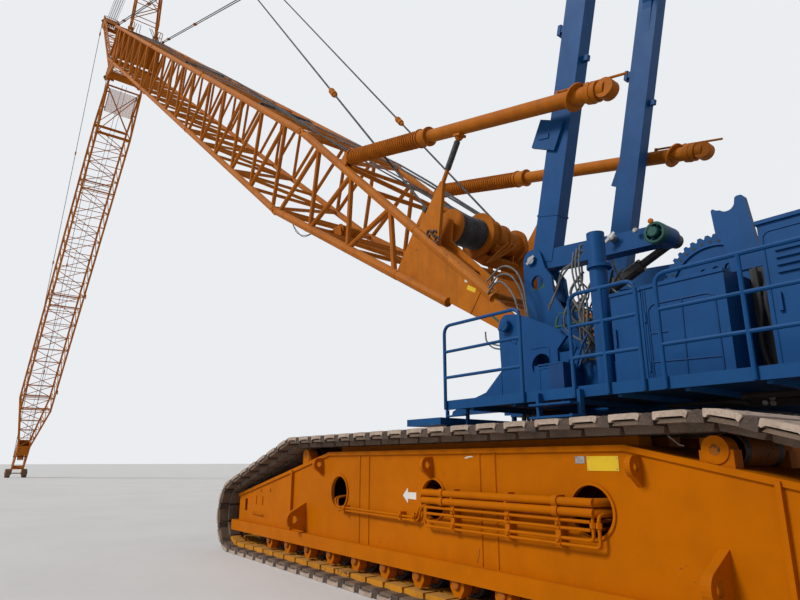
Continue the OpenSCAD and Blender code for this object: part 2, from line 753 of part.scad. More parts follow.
// Height of the portal's lower side above the front pins
portal_z = aframe_l * 0.577;
module a_frame() {
    color(machine_blue) difference() {
        union() {
            on_aframe() both_sides() translate([0, aframe_y, 0]) {
                block([leg_rear, -leg_w / 2, 0], [leg_front, leg_w / 2, aframe_l]);
                bar_y(86, leg_w);
                // small brackets along the leg
                block([leg_front - 60, -30, 2140], [leg_front + 70, 30, 2200]);
                block([leg_front + 55, -36, 2120], [leg_front + 90, 36, 2215]);
                block([leg_rear - 60, -20, 1790], [leg_rear + 40, 20, 1840]);
                block([leg_front - 30, leg_w / 2 - 40, 1105], [leg_front + 80, leg_w / 2 + 40, 1150]);
                translate([24, leg_w / 2, 1140]) rotate([0, -14, 0]) block([-135, -4, -130], [135, 30, 130]);
                block([leg_rear - 4, -leg_w / 2 - 5, 400], [leg_front + 4, leg_w / 2 + 5, 418]);
            }
            // arms to the rear, with the pins of the erecting cylinders
            upper() translate([aframe_x, 0, aframe_z]) both_sides() translate([0, aframe_y, 0]) {
                plate_y([[0, 60], [-265, 65], [-1080, -5], [-1110, -150], [-305, -110], [-60, -86]], 0, leg_w - 10);
                translate([-1140, 0, -90]) {
                    bar_y(80, leg_w + 16);
                    translate([0, -(aframe_y - erect_y) / 2, 0]) bar_y(22, aframe_y - erect_y + 100);
                    translate([0, leg_w / 2, 0]) bar_y(50, 60);
                }
            }
            // portal with arched gussets, and the upper cross beam
            on_aframe() {
                block([leg_rear + 40, -aframe_y, portal_z], [leg_front - 40, aframe_y, portal_z + 200]);
                both_sides() translate([leg_rear + 60, 0, portal_z]) rotate([90, 0, 90]) linear_extrude(leg_d - 120) polygon([
                    [aframe_y, -560], [aframe_y - leg_w / 2, -500],
                    for (a = [0:15:90]) [aframe_y - 340 + 260 * cos(a), -260 + 262 * sin(a)],
                    [aframe_y, 10]]);
                block([leg_rear + 30, -aframe_y, aframe_l - 600], [leg_front - 30, aframe_y, aframe_l - 340]);
            }
        }
        on_aframe() both_sides() translate([0, aframe_y, 0]) bar_y(42 + seat_gap, 260);
        on_aframe() both_sides() translate([head_sheave_x, aframe_y, aframe_l - 90]) bar_y(30 + seat_gap, 260);
    }
}

module a_frame_head() {
    color(machine_blue) on_aframe() {
        translate([head_sheave_x, 0, head_sheave_z]) {
            bar_y(40, 2 * aframe_y + leg_w);
            for (i = [-4:4]) translate([0, i * 95, 0]) bar_y(sheave_r - 8, 44);
        }
        for (y = [-1, 1]) {
            block([leg_rear + 10, y * (aframe_y + leg_w / 2 + 12) - 12 + seat_gap, aframe_l - 180],
                  [leg_front - 10, y * (aframe_y + leg_w / 2 + 12) + 12 - seat_gap, head_sheave_z + 80]);
            translate([head_sheave_x, y * aframe_y, head_sheave_z]) bar_y(40, leg_w + 60);
            translate([head_sheave_x, y * aframe_y, aframe_l - 90]) bar_y(30, leg_w + 60);
        }
    }
}

// The middle of the A-frame's head sheaves in the upperworks' own axes
aframe_top = [aframe_x + head_sheave_x * cos(aframe_lean) - head_sheave_z * sin(aframe_lean), 0,
              aframe_z + head_sheave_x * sin(aframe_lean) + head_sheave_z * cos(aframe_lean)];
module a_frame_ropes() {
    r = 12;
    line = tangent(rear_winch, winch_r + r + seat_gap, [aframe_top[0], aframe_top[2]], sheave_r - 8 + r + seat_gap);
    color(rope_grey) upper() for (y = [-1, 1])
        rod([line[0][0], y * 95, line[0][1]], [line[1][0], y * 95, line[1][1]], r, 8);
}

module erecting_cylinders() {
    a = [erect_from[0], 0, erect_from[1]];
    b = [erect_to[0], 0, erect_to[1]];
    m = a + (b - a) * 0.58;
    color(steel_grey) upper() both_sides() translate([0, erect_y, 0]) difference() {
        union() {
            rod(a, a + (b - a) * 0.15, 36, 12);
            rod(a + (b - a) * 0.13, m, 52, 12);
            rod(m - (b - a) * 0.02, b, 32, 12);
            translate(a) bar_y(54, 78);
            translate(b) bar_y(54, 70);
        }
        translate(a) bar_y(20 + seat_gap, 200);
        translate(b) bar_y(22 + seat_gap, 200);
    }
}

// Cab on the right side, with a door that swings on two hinges outside its rear edge
cab_x = 420;
cab_y = -main_hw - 60 - cab_w;
cab_z = deck_z + seat_gap;
cab_profile = [[0, 0], [cab_l - 90, 0], [cab_l, 260], [cab_l, 640], [cab_l - 190, cab_h], [0, cab_h]];
door_x = [70, 640];
door_z = [40, 1010];
hinge_at = [door_x[0] + running_gap, -16];
hinge_z = [140, 760];
hinge_r = 6;
module cab_shell() {
    color(machine_blue) upper() translate([cab_x, cab_y, cab_z]) difference() {
        translate([0, cab_w, 0]) rotate([90, 0, 0]) linear_extrude(cab_w) polygon(cab_profile);
        translate([0, cab_w - cab_t, 0]) rotate([90, 0, 0]) linear_extrude(cab_w - 2 * cab_t)
            offset(delta = -cab_t) polygon(cab_profile);
        block([door_x[0], -10, door_z[0]], [door_x[1], cab_t + 10, door_z[1]]);
        block([door_x[1] + 60, -10, 330], [cab_l - 60, cab_t + 10, 700]);
        block([120, cab_w - cab_t - 10, 420], [780, cab_w + 10, 900]);
        block([cab_l - 60, 50, 330], [cab_l + 20, cab_w - 50, 600]);
        block([-10, 60, 450], [cab_t + 10, cab_w - 60, 900]);
    }
    color(machine_blue) upper() translate([cab_x, cab_y, cab_z]) for (z = hinge_z) {
        translate([hinge_at[0], hinge_at[1], z - 24]) cylinder(h = 18, r = 11, $fn = 24);
        translate([hinge_at[0], hinge_at[1], z - 20]) cylinder(h = 100, r = hinge_r, $fn = 24);
        block([hinge_at[0] - 36, hinge_at[1] - 8, z - 24], [hinge_at[0], hinge_at[1] + 8, z - 6]);
        block([hinge_at[0] - 36, hinge_at[1] - 8, z - 24], [hinge_at[0] - 10, 2, z - 6]);
    }
}

module cab_glass() {
    g = 8;
    color(glass_tint) upper() translate([cab_x, cab_y, cab_z]) {
        block([cab_l - 14, 50 + seat_gap, 330 + seat_gap], [cab_l - 14 + g, cab_w - 50 - seat_gap, 600 - seat_gap]);
        block([120 + seat_gap, cab_w - 14, 420 + seat_gap], [780 - seat_gap, cab_w - 14 + g, 900 - seat_gap]);
        block([door_x[1] + 60 + seat_gap, 6, 330 + seat_gap], [cab_l - 60 - seat_gap, 6 + g, 700 - seat_gap]);
        block([6, 60 + seat_gap, 450 + seat_gap], [6 + g, cab_w - 60 - seat_gap, 900 - seat_gap]);
    }
}

module cab_door() {
    color(machine_blue) upper() translate([cab_x, cab_y, cab_z]) difference() {
        block([door_x[0] + running_gap, 0, door_z[0] + running_gap], [door_x[1] - running_gap, cab_t, door_z[1] - running_gap]);
        block([door_x[0] + 60, -10, 420], [door_x[1] - 60, cab_t + 10, 950]);
    }
    color(machine_blue) upper() translate([cab_x, cab_y, cab_z]) for (z = hinge_z) difference() {
        union() {
            translate([hinge_at[0], hinge_at[1], z]) cylinder(h = 80, r = 11, $fn = 24);
            block([hinge_at[0], hinge_at[1] - 8, z], [hinge_at[0] + 70, 1, z + 80]);
        }
        translate([hinge_at[0], hinge_at[1], z - 1]) cylinder(h = 82, r = hinge_r + seat_gap, $fn = 24);
    }
}

module cab_door_glass() {
    color(glass_tint) upper() translate([cab_x, cab_y, cab_z])
        block([door_x[0] + 60 + seat_gap, 7, 420 + seat_gap], [door_x[1] - 60 - seat_gap, 15, 950 - seat_gap]);
}

module counterweight_base() {
    color(golden) upper() {
        block([-main_rear - slab_l - 60, -1500, main_bottom - 62], [-main_rear + 300, 1500, main_bottom - seat_gap]);
        block([-main_rear - slab_l - 60, -400, main_bottom - 2], [-main_rear - seat_gap, 400, main_bottom + 260]);
    }
}

module counterweight_slabs() {
    step = 12;
    color(golden) upper() both_sides() for (i = [0:slab_count - 1])
        translate([-main_rear - slab_l - 40, 415, main_bottom + i * slab_h]) {
            block([0, 0, 0], [slab_l, slab_w, slab_h - step]);
            block([step, step, 1], [slab_l - step, slab_w - step, slab_h - seat_gap]);
        }
}

// Lifting eyes on the counterweight stacks, each with its bore along X
eye_t = 40;
eye_r = 26;
eye_z = 80;
module counterweight_eyes() {
    top = main_bottom + slab_count * slab_h;
    color(golden) upper() both_sides()
        translate([-main_rear - 40 - slab_l / 2, 415 + slab_w / 2, top]) difference() {
            union() {
                block([-80, -80, 0], [80, 80, 20]);
                block([-eye_t / 2, -60, 10], [eye_t / 2, 60, eye_z]);
                translate([-eye_t / 2, 0, eye_z]) rotate([0, 90, 0]) cylinder(h = eye_t, r = 60, $fn = 32);
            }
            translate([-eye_t, 0, eye_z]) rotate([0, 90, 0]) cylinder(h = 2 * eye_t, r = eye_r, $fn = 32);
        }
}

// Boom

// Lattice of four chords between two stations, each row: x, half width, upper z, lower z.
// The chords stop short of the stations by the two lengths in cut.
// The lacing zigzags between nodes that stay clear of the chords' ends.
module lattice(a, b, bays, rc, rl, cut = [0, 0], crossed = false) {
    l = b[0] - a[0];
    pad = [(cut[0] + rl * 2) / l, (cut[1] + rl * 2) / l];
    function share(i) = pad[0] + (1 - pad[0] - pad[1]) * i / bays;
    function at(f, s, t) = let (m = a + (b - a) * f) [m[0], s * m[1], t > 0 ? m[2] : m[3]];
    for (s = [-1, 1], t = [-1, 1])
        rod(at(cut[0] / l, s, t), at(1 - cut[1] / l, s, t), rc);
    for (i = [0:bays - 1]) {
        side = i % 2 == 0 ? 1 : -1;
        for (s = [-1, 1]) {
            rod(at(share(i), s, -1), at(share(i + 0.5), s, 1), rl);
            rod(at(share(i + 0.5), s, 1), at(share(i + 1), s, -1), rl);
        }
        for (t = [-1, 1]) {
            rod(at(share(i), side, t), at(share(i + 1), -side, t), rl * 0.93);
            if (crossed)
                rod(at(share(i), -side, t), at(share(i + 1), side, t), rl * 0.8);
        }
    }
    for (i = [0:bays], t = [-1, 1])
        rod(at(share(i), -1, t), at(share(i), 1, t), rl * 0.86);
}

// Joint of two chords: a fork with a pin on the one behind, and an eye on the one before.
// The chords, of radius r, stop short of the pin by joint_cut times r.
joint_cut = 1.1;
function joint_outline(r, d) = [
    for (a = [-90:30:90]) [-d * 0.8 * r * cos(a), 0.8 * r * sin(a)],
    [d * 1.9 * r, 0.8 * r], [d * 1.9 * r, -0.8 * r],
];

module joint_forks(row, r) {
    for (s = [-1, 1], t = [2, 3])
        translate([row[0], s * row[1], row[t]]) {
            for (side = [-1, 1])
                plate_y(joint_outline(r, -1), side * (0.62 * r + seat_gap), 0.4 * r);
            bar_y(0.45 * r, 2.2 * r, 24);
        }
}

module joint_eyes(row, r) {
    for (s = [-1, 1], t = [2, 3])
        translate([row[0], s * row[1], row[t]])
            plate_y(joint_outline(r, 1), 0, 0.84 * r);
}

module joint_bores(row, r) {
    for (s = [-1, 1], t = [2, 3])
        translate([row[0], s * row[1], row[t]])
            bar_y(0.45 * r + seat_gap, 3 * r, 24);
}

foot_row = [0, foot_w / 2, 75, -80];
foot_end_row = [foot_l, boom_w / 2, boom_up, -boom_down];
plate_share = 0.345;
foot_pin_r = 52;
function foot_at(f) = foot_row + (foot_end_row - foot_row) * f;

function foot_point(x, t) = let (m = foot_at(x / foot_l)) [m[0], m[1], m[t]];

strap_y = 650;
strap_pin = [1900, 470];
strap_pin_r = 18;
module boom_foot() {
    m = foot_at(plate_share);
    color(lattice_orange) on_boom() difference() {
        union() {
            lattice(m, foot_end_row, 3, chord_r, lace_r, [25, joint_cut * chord_r]);
            joint_forks(foot_end_row, chord_r);
            both_sides() {
                translate([0, foot_row[1], 0]) bar_y(boss_r, 90);
                plate_y([[0, foot_row[2]], [0, foot_row[3]], [m[0] + 90, m[3] - 8], [m[0] + 90, m[2] + 8]], foot_row[1], 50);
                plate_y([[550, -140], [571, -140], [571, 122], [550, 122]], foot_row[1], 62);
                rod(foot_point(383, 2), foot_point(m[0] + 60, 2), chord_r * 0.94);
                rod(foot_point(900, 3), foot_point(m[0] + 60, 3), chord_r * 0.94);
                // lugs and pin of the backstop
                for (y = [-1, 1])
                    plate_y([[backstop_along - 90, 425], [backstop_along + 90, 440], [backstop_along + 45, 610],
                             [backstop_along - 45, 610]], backstop_y + y * 40, 19);
                translate([backstop_along, backstop_y, backstop_pin_z]) bar_y(backstop_pin_r, 100);
                // lugs and pin of the rear mast's stay
                for (y = [-1, 1])
                    plate_y([[1780, 235], [1960, 250], [1945, strap_pin[1]], [1925, strap_pin[1] + 35],
                             [1875, strap_pin[1] + 35], [1850, strap_pin[1]]], strap_y + y * 22, 15);
                translate([strap_pin[0], strap_y, strap_pin[1]]) bar_y(strap_pin_r, 64);
            }
            rod([1860, -m[1], 246], [1860, m[1], 246], chord_r * 0.8);
            rod([950, -foot_w / 2, -55], [950, foot_w / 2, -55], chord_r);
        }
        both_sides() translate([0, foot_row[1], 0]) bar_y(foot_pin_r + seat_gap, 300);
    }
}

boom_winch = [1620, 415];
module boom_winches() {
    inner = foot_row[1] - 25 - seat_gap;
    color(lattice_orange) on_boom() {
        translate([boom_winch[0], 0, boom_winch[1]]) {
            bar_y(150, 1000);
            bar_y(45, 1200);
            both_sides() translate([0, 500, 0]) bar_y(190, 40);
        }
        both_sides()
            plate_y([[560, 30], [1400, 70], [1760, 330], [1720, 500], [1520, 500], [1411, 309], [670, 222], [600, 130]], 590, 30);
        for (p = [[640, 60], [1340, 110]])
            translate([p[0], 0, p[1]]) bar_y(34, 2 * inner);
    }
}

function boom_row(x) = [x, boom_w / 2, boom_up, -boom_down];
module boom_section(i) {
    near = boom_row(foot_l + i * section_l);
    far = boom_row(foot_l + (i + 1) * section_l);
    cut = joint_cut * chord_r;
    color(lattice_orange) on_boom() difference() {
        union() {
            lattice(near, far, section_bays, chord_r, lace_r, [cut, cut]);
            joint_eyes(near, chord_r);
            joint_forks(far, chord_r);
        }
        joint_bores(near, chord_r);
    }
}

head_plate_y = jib_w / 2 + 100;
stay_lug_y = boom_w / 2 - 30;
stay_pin_r = 22;
module boom_head() {
    e = boom_l + head_l;
    near = boom_row(boom_l);
    color(lattice_orange) on_boom() difference() {
        union() {
            lattice(near, boom_row(e), 1, chord_r, lace_r, [joint_cut * chord_r, 0]);
            joint_eyes(near, chord_r);
            both_sides() {
                plate_y([[boom_l + 420, -boom_down], [jib_pin_along - 130, -jib_pin_down - 60],
                         [jib_pin_along - 40, -jib_pin_down - 120], [jib_pin_along + 60, -jib_pin_down - 120],
                         [jib_pin_along + 130, -jib_pin_down], [e + 60, boom_up + 40],
                         [e - 300, boom_up + 40]], head_plate_y, 50);
                translate([jib_pin_along, jib_w / 2, -jib_pin_down]) bar_y(jib_pin_r, 320);
                translate([rear_base[0], 450, rear_base[2]]) bar_y(34, 200);
                block([rear_base[0] - 90, 500, boom_up - 20], [rear_base[0] + 90, 530, rear_base[2] + 70]);
                block([rear_base[0] - 90, 370, boom_up - 20], [rear_base[0] + 90, 398, rear_base[2] + 70]);
                // lug and pin of the boom's stays
                plate_y([[stay_anchor[0] - 110, boom_up], [stay_anchor[0] + 50, boom_up],
                         [stay_anchor[0] + 40, stay_anchor[2] + 40], [stay_anchor[0] - 40, stay_anchor[2] + 40]],
                        stay_lug_y, 24);
                translate([stay_anchor[0], stay_lug_y, stay_anchor[2]]) bar_y(stay_pin_r, 104);
            }
            for (z = [boom_up, -boom_down])
                rod([e - 60, -boom_w / 2, z], [e - 60, boom_w / 2, z], chord_r);
            rod([rear_base[0], -boom_w / 2, boom_up], [rear_base[0], boom_w / 2, boom_up], chord_r);
            // box beam between the plates, behind the jib's pins, and the plate that closes the head's end
            block([jib_pin_along - 470, -head_plate_y, -jib_pin_down + 60], [jib_pin_along - 200, head_plate_y, -jib_pin_down + 330]);
            block([e - 30, -head_plate_y, -boom_down + 120], [e, head_plate_y, boom_up - 60]);
        }
        joint_bores(near, chord_r);
    }
}

backstop_pin_z = 555;
backstop_pin_r = 30;
saddle_at = 2106;
// A child drawn with +X along the left backstop to its rear end, +Z down and its origin at the backstop's pin
module on_backstop() {
    translate([backstop_along, backstop_y, backstop_pin_z]) rotate([0, 180 + backstop_angle, 0]) children();
}

module backstops() {
    color(lattice_orange) on_boom() both_sides() on_backstop() difference() {
        union() {
            rotate([0, 90, 0]) cylinder(h = backstop_l - 60, r = backstop_r, $fn = 32);
            rotate([0, 90, 0]) translate([0, 0, 96]) cylinder(h = 1390, r = backstop_r + 14, $fn = 32);
            rotate([0, 90, 0]) translate([0, 0, 1485]) cylinder(h = 122, r = backstop_r + 24, $fn = 32);
            rotate([0, 90, 0]) translate([0, 0, backstop_l - 190]) cylinder(h = 60, r = backstop_r + 16, $fn = 32);
            bar_y(74, 60);
            translate([backstop_l - 60, 0, 0]) bar_y(80, 100);
        }
        bar_y(backstop_pin_r + seat_gap, 400);
        for (y = [-1, 1])
            block([-90, y * 80 - 50 + seat_gap, -120], [74, y * 80 + 50 - seat_gap, 120]);
    }
}

// Brackets on the boom's foot, each with a strut that holds a saddle under a backstop
module backstop_struts() {
    seat_from = foot_point(1328, 2)[2] + chord_r + seat_gap;
    seat_to = foot_point(1720, 2)[2] + chord_r + seat_gap;
    color(lattice_orange) on_boom() both_sides() {
        plate_y([[1328, seat_from], [1720, seat_to], [1690, 816], [1640, 816]], backstop_y, 40);
        rod([1660, backstop_y, 790], [1709, backstop_y, 1296], 22, 8);
        on_backstop() block([saddle_at - 45, -50, backstop_r + seat_gap], [saddle_at + 45, 50, backstop_r + 24]);
    }
}

function from(p, l, a) = p + l * [cos(a), 0, sin(a)];
rear_base = [rear_mast_along, 0, boom_up + chord_r + 80];
rear_top = from(rear_base, rear_mast_l, rear_mast_angle);
mast_sheave_r = 150;
mast_pin_r = 34;
rear_head_w = 600;
front_head_w = 560;
module mast(l, w0, w1, d, n, rc, rl) {
    foot = l * 0.07;
    top = l * 0.95;
    for (s = [-1, 1]) {
        for (t = [-1, 1])
            rod([0, s * w0 / 2, 0], [foot + 20, s * w0 / 2, t * d / 2], rc);
        translate([0, s * w0 / 2, 0]) bar_y(60, 90);
    }
    lattice([foot, w0 / 2, d / 2, -d / 2], [top, w1 / 2, d / 2, -d / 2], n, rc, rl);
    // plated head with its sheaves and the pin of the stays
    for (s = [-1, 1]) {
        block([top - 300, s * (w1 / 2 + 4) - 41, -d / 2 - 60], [l + 110, s * (w1 / 2 + 4) + 41, d / 2 + 60]);
        block([top - 300, -w1 / 2, s * (d / 2 + 44) - 14], [l - 60, w1 / 2, s * (d / 2 + 44) + 14]);
    }
    translate([l, 0, 0]) {
        bar_y(mast_pin_r, w1 + 180);
        for (i = [-2:2]) translate([0, i * w1 * 0.15, 0]) bar_y(mast_sheave_r, 40);
    }
}

module rear_mast() {
    color(lattice_orange) on_boom() translate(rear_base) rotate([0, -rear_mast_angle, 0]) difference() {
        mast(rear_mast_l, 900, rear_head_w, 320, 8, 36, 18);
        bar_y(mast_pin_r + seat_gap, 1400);
    }
}

stay_anchor = [boom_l + head_l - 60, boom_w / 2, boom_up + chord_r + 40];
// The A-frame's head in the boom's axes, with the boom at rest
head_from_pin = aframe_top - [boom_x, 0, boom_z];
head_on_boom = [head_from_pin[0] * cos(boom_angle) + head_from_pin[2] * sin(boom_angle), 0,
                head_from_pin[2] * cos(boom_angle) - head_from_pin[0] * sin(boom_angle)];
// The straight run from the anchors over the top of those sheaves
run = head_on_boom - [stay_anchor[0], 0, stay_anchor[2]];
run_l = sqrt(pow(norm(run), 2) - pow(sheave_r, 2));
run_tilt = atan2(run[2], -run[0]) + asin(sheave_r / norm(run));
function on_run(d, y) = [stay_anchor[0] - d * cos(run_tilt), y, stay_anchor[2] + d * sin(run_tilt)];
bridle_at = run_l - 4000;
// The boom's stays up to their spreader with its sheaves, and the stays of the rear mast
module boom_stays() {
    color(rope_grey) on_boom() {
        both_sides() {
            difference() {
                union() {
                    rod(stay_anchor, on_run(bridle_at + 30, 560), 14, 8);
                    rod(stay_anchor + [0, -60, 0], on_run(bridle_at + 30, 500), 14, 8);
                    for (y = [0, -60])
                        translate(stay_anchor + [0, y, 0]) bar_y(stay_pin_r * 1.65, 30);
                }
                translate(stay_anchor + [0, -30, 0]) bar_y(stay_pin_r + seat_gap, 200);
            }
            stay([strap_pin[0], strap_y, strap_pin[1]], rear_top + [0, rear_head_w / 2 + 65, 0], 14, strap_pin_r, mast_pin_r);
        }
        translate(on_run(bridle_at + 60, 0)) {
            bar_y(60, 1160);
            for (i = [-3:3]) translate([0, i * 95, 0]) bar_y(sheave_r - 40, 44);
        }
    }
}

// Jib

jib_flat_l = (jib_l - jib_foot_l - jib_head_l) / 2;
jib_cut = joint_cut * jib_chord_r;
function jib_row(x) = [x, jib_w / 2, jib_d / 2, -jib_d / 2];
jib_pin_r = 40;

// A heavy cross beam between the chords at x, on the upper and the lower side
module jib_beam(x) {
    for (z = [-1, 1])
        rod([x, -jib_w / 2, z * jib_d / 2], [x, jib_w / 2, z * jib_d / 2], jib_chord_r * 0.8);
}

module jib_foot() {
    far = jib_row(jib_foot_l);
    color(lattice_orange) on_jib() difference() {
        union() {
            lattice([200, jib_w / 2, 75, -75], jib_row(jib_taper_l), 1, jib_chord_r, jib_lace_r * 1.3, [0, 0], true);
            lattice(jib_row(jib_taper_l), far, 4, jib_chord_r, jib_lace_r, [0, jib_cut]);
            joint_forks(far, jib_chord_r);
            jib_beam(jib_taper_l);
            jib_beam(jib_foot_l - 150);
            both_sides() {
                translate([0, jib_w / 2, 0]) bar_y(90, 84);
                block([0, jib_w / 2 - 30, -84], [330, jib_w / 2 + 30, 84]);
            }
        }
        bar_y(jib_pin_r + seat_gap, 3 * jib_w);
    }
}

module jib_section(i) {
    near = jib_row(jib_foot_l + i * jib_flat_l);
    far = jib_row(jib_foot_l + (i + 1) * jib_flat_l);
    color(lattice_orange) on_jib() difference() {
        union() {
            lattice(near, far, 8, jib_chord_r, jib_lace_r, [jib_cut, jib_cut]);
            joint_eyes(near, jib_chord_r);
            joint_forks(far, jib_chord_r);
            jib_beam(far[0] - 150);
        }
        joint_bores(near, jib_chord_r);
    }
}

jib_plate_y = 232;
jib_plate_t = 44;
tip_stay = [jib_l - 900, jib_plate_y + jib_plate_t / 2 + 16, 190];
tip_pin_r = 20;
tip_axle_r = 24;
module jib_head() {
    near = jib_row(jib_l - jib_head_l);
    e = jib_l - jib_tip_l;
    color(lattice_orange) on_jib() difference() {
        union() {
            lattice(near, [e, 240, 215, -215], 4, jib_chord_r, jib_lace_r, [jib_cut, 0]);
            joint_eyes(near, jib_chord_r);
            for (y = [-1, 1])
                plate_y([[e - 70, 262], [e - 70, -262], [e + 820, -236], [jib_l - 90, -80], [jib_l + 50, -70],
                         [jib_l + 86, 0], [jib_l + 50, 70], [jib_l - 90, 80], [e + 820, 236]], y * jib_plate_y, jib_plate_t);
            for (z = [-1, 1])
                block([e - 50, -jib_plate_y, z * 226 - 14], [e + 520, jib_plate_y, z * 226 + 14]);
            block([jib_l - 420, -jib_plate_y, -90], [jib_l - 330, jib_plate_y, 90]);
            translate([e + 780, 0, 0]) {
                bar_y(30, 2 * jib_plate_y);
                for (i = [-1:1]) translate([0, i * 90, 0]) bar_y(190, 50);
            }
            translate([tip_stay[0], 0, tip_stay[2]]) bar_y(tip_pin_r, 2 * tip_stay[1] + 40);
        }
        translate([jib_l, 0, 0]) bar_y(tip_axle_r + seat_gap, 900);
        joint_bores(near, jib_chord_r);
    }
}

front_w = jib_w - 260;
module front_mast() {
    color(lattice_orange) on_jib() rotate([0, -front_mast_angle, 0]) difference() {
        mast(front_mast_l, front_w, front_head_w, 320, 9, 36, 17);
        bar_y(jib_pin_r + seat_gap, 3 * jib_w);
    }
}

module jib_stays() {
    top = front_mast_l * [cos(front_mast_angle), 0, sin(front_mast_angle)];
    color(rope_grey) on_jib() both_sides()
        stay(top + [0, front_head_w / 2 + 62, 0], tip_stay, 12, mast_pin_r, tip_pin_r);
}

module tip_wheels() {
    color(golden) on_jib() translate([jib_l, 0, 0]) {
        bar_y(tip_axle_r, tip_wheel_w + 220);
        both_sides() translate([0, tip_wheel_w / 2, 0]) bar_y(tip_wheel_r, 190);
    }
}

carbody();
slewing_ring();
track_frame(1);  // track_frame_left
track_frame(-1);  // track_frame_right
tie_lugs();
track(1);  // track_left
track(-1);  // track_right
rollers();
end_wheels();
track_pipes();
main_frame();
walkways();
handrails();
cabinets();
engine_house();
winch_drums();
support_posts();
a_frame();
a_frame_head();
a_frame_ropes();
erecting_cylinders();
cab_shell();
cab_glass();
cab_door();
cab_door_glass();
counterweight_base();
counterweight_slabs();
counterweight_eyes();
boom_foot();
boom_winches();
boom_section(0);  // boom_section_1
boom_section(1);  // boom_section_2
boom_section(2);  // boom_section_3
boom_head();
backstops();
backstop_struts();
rear_mast();
boom_stays();
jib_foot();
jib_section(0);  // jib_section_1
jib_section(1);  // jib_section_2
jib_head();
front_mast();
jib_stays();
tip_wheels();
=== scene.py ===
import json
import math
import random

import bmesh
import bpy
from mathutils import Matrix, Vector


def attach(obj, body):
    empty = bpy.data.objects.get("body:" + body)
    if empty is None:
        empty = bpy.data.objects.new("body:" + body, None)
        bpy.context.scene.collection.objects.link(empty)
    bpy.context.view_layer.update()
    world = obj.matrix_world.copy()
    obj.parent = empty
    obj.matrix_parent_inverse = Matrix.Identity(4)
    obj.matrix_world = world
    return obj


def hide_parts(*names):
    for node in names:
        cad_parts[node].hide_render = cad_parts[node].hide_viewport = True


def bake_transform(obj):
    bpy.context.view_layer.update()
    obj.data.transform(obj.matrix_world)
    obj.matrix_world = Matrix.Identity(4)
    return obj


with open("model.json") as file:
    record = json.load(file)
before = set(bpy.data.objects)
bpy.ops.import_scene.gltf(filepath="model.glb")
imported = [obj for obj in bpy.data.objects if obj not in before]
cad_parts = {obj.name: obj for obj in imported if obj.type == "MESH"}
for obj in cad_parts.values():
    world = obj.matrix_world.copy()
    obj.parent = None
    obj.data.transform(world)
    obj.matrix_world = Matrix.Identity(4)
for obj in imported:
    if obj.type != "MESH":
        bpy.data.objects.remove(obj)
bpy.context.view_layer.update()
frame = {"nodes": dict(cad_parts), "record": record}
nodes = frame["nodes"]
print("frame loaded with", len(nodes), "nodes")


# Where the moving parts stand, in metres of the model and degrees
stance = {
    "slewAngle": 2.7,
    "boomPin": (0.86, 0, 1.85),
    "boomAngle": 37.1,
    "jibPin": (20.89835, 0, 15.24958),
    "jibAngle": 48.567,
    "backstopPin": (3.68, 0.79, 0.555),
    "backstopAngle": 22.9,
}


def turned(degrees, axis):
    return Matrix.Rotation(math.radians(degrees), 4, axis)


ground = Matrix()
upper = turned(stance["slewAngle"], "Z")
boom = upper @ Matrix.Translation(stance["boomPin"]) @ turned(-stance["boomAngle"], "Y")
jib = upper @ Matrix.Translation(stance["jibPin"]) @ turned(stance["jibAngle"], "Y")
mirrored = Matrix.Diagonal((1, -1, 1, 1))
alongX, alongY, alongZ = (1, 0, 0), (0, 1, 0), (0, 0, 1)


def backstopPlace(side):
    x, y, z = stance["backstopPin"]
    return boom @ Matrix.Translation((x, side * y, z)) @ turned(180 + stance["backstopAngle"], "Y")


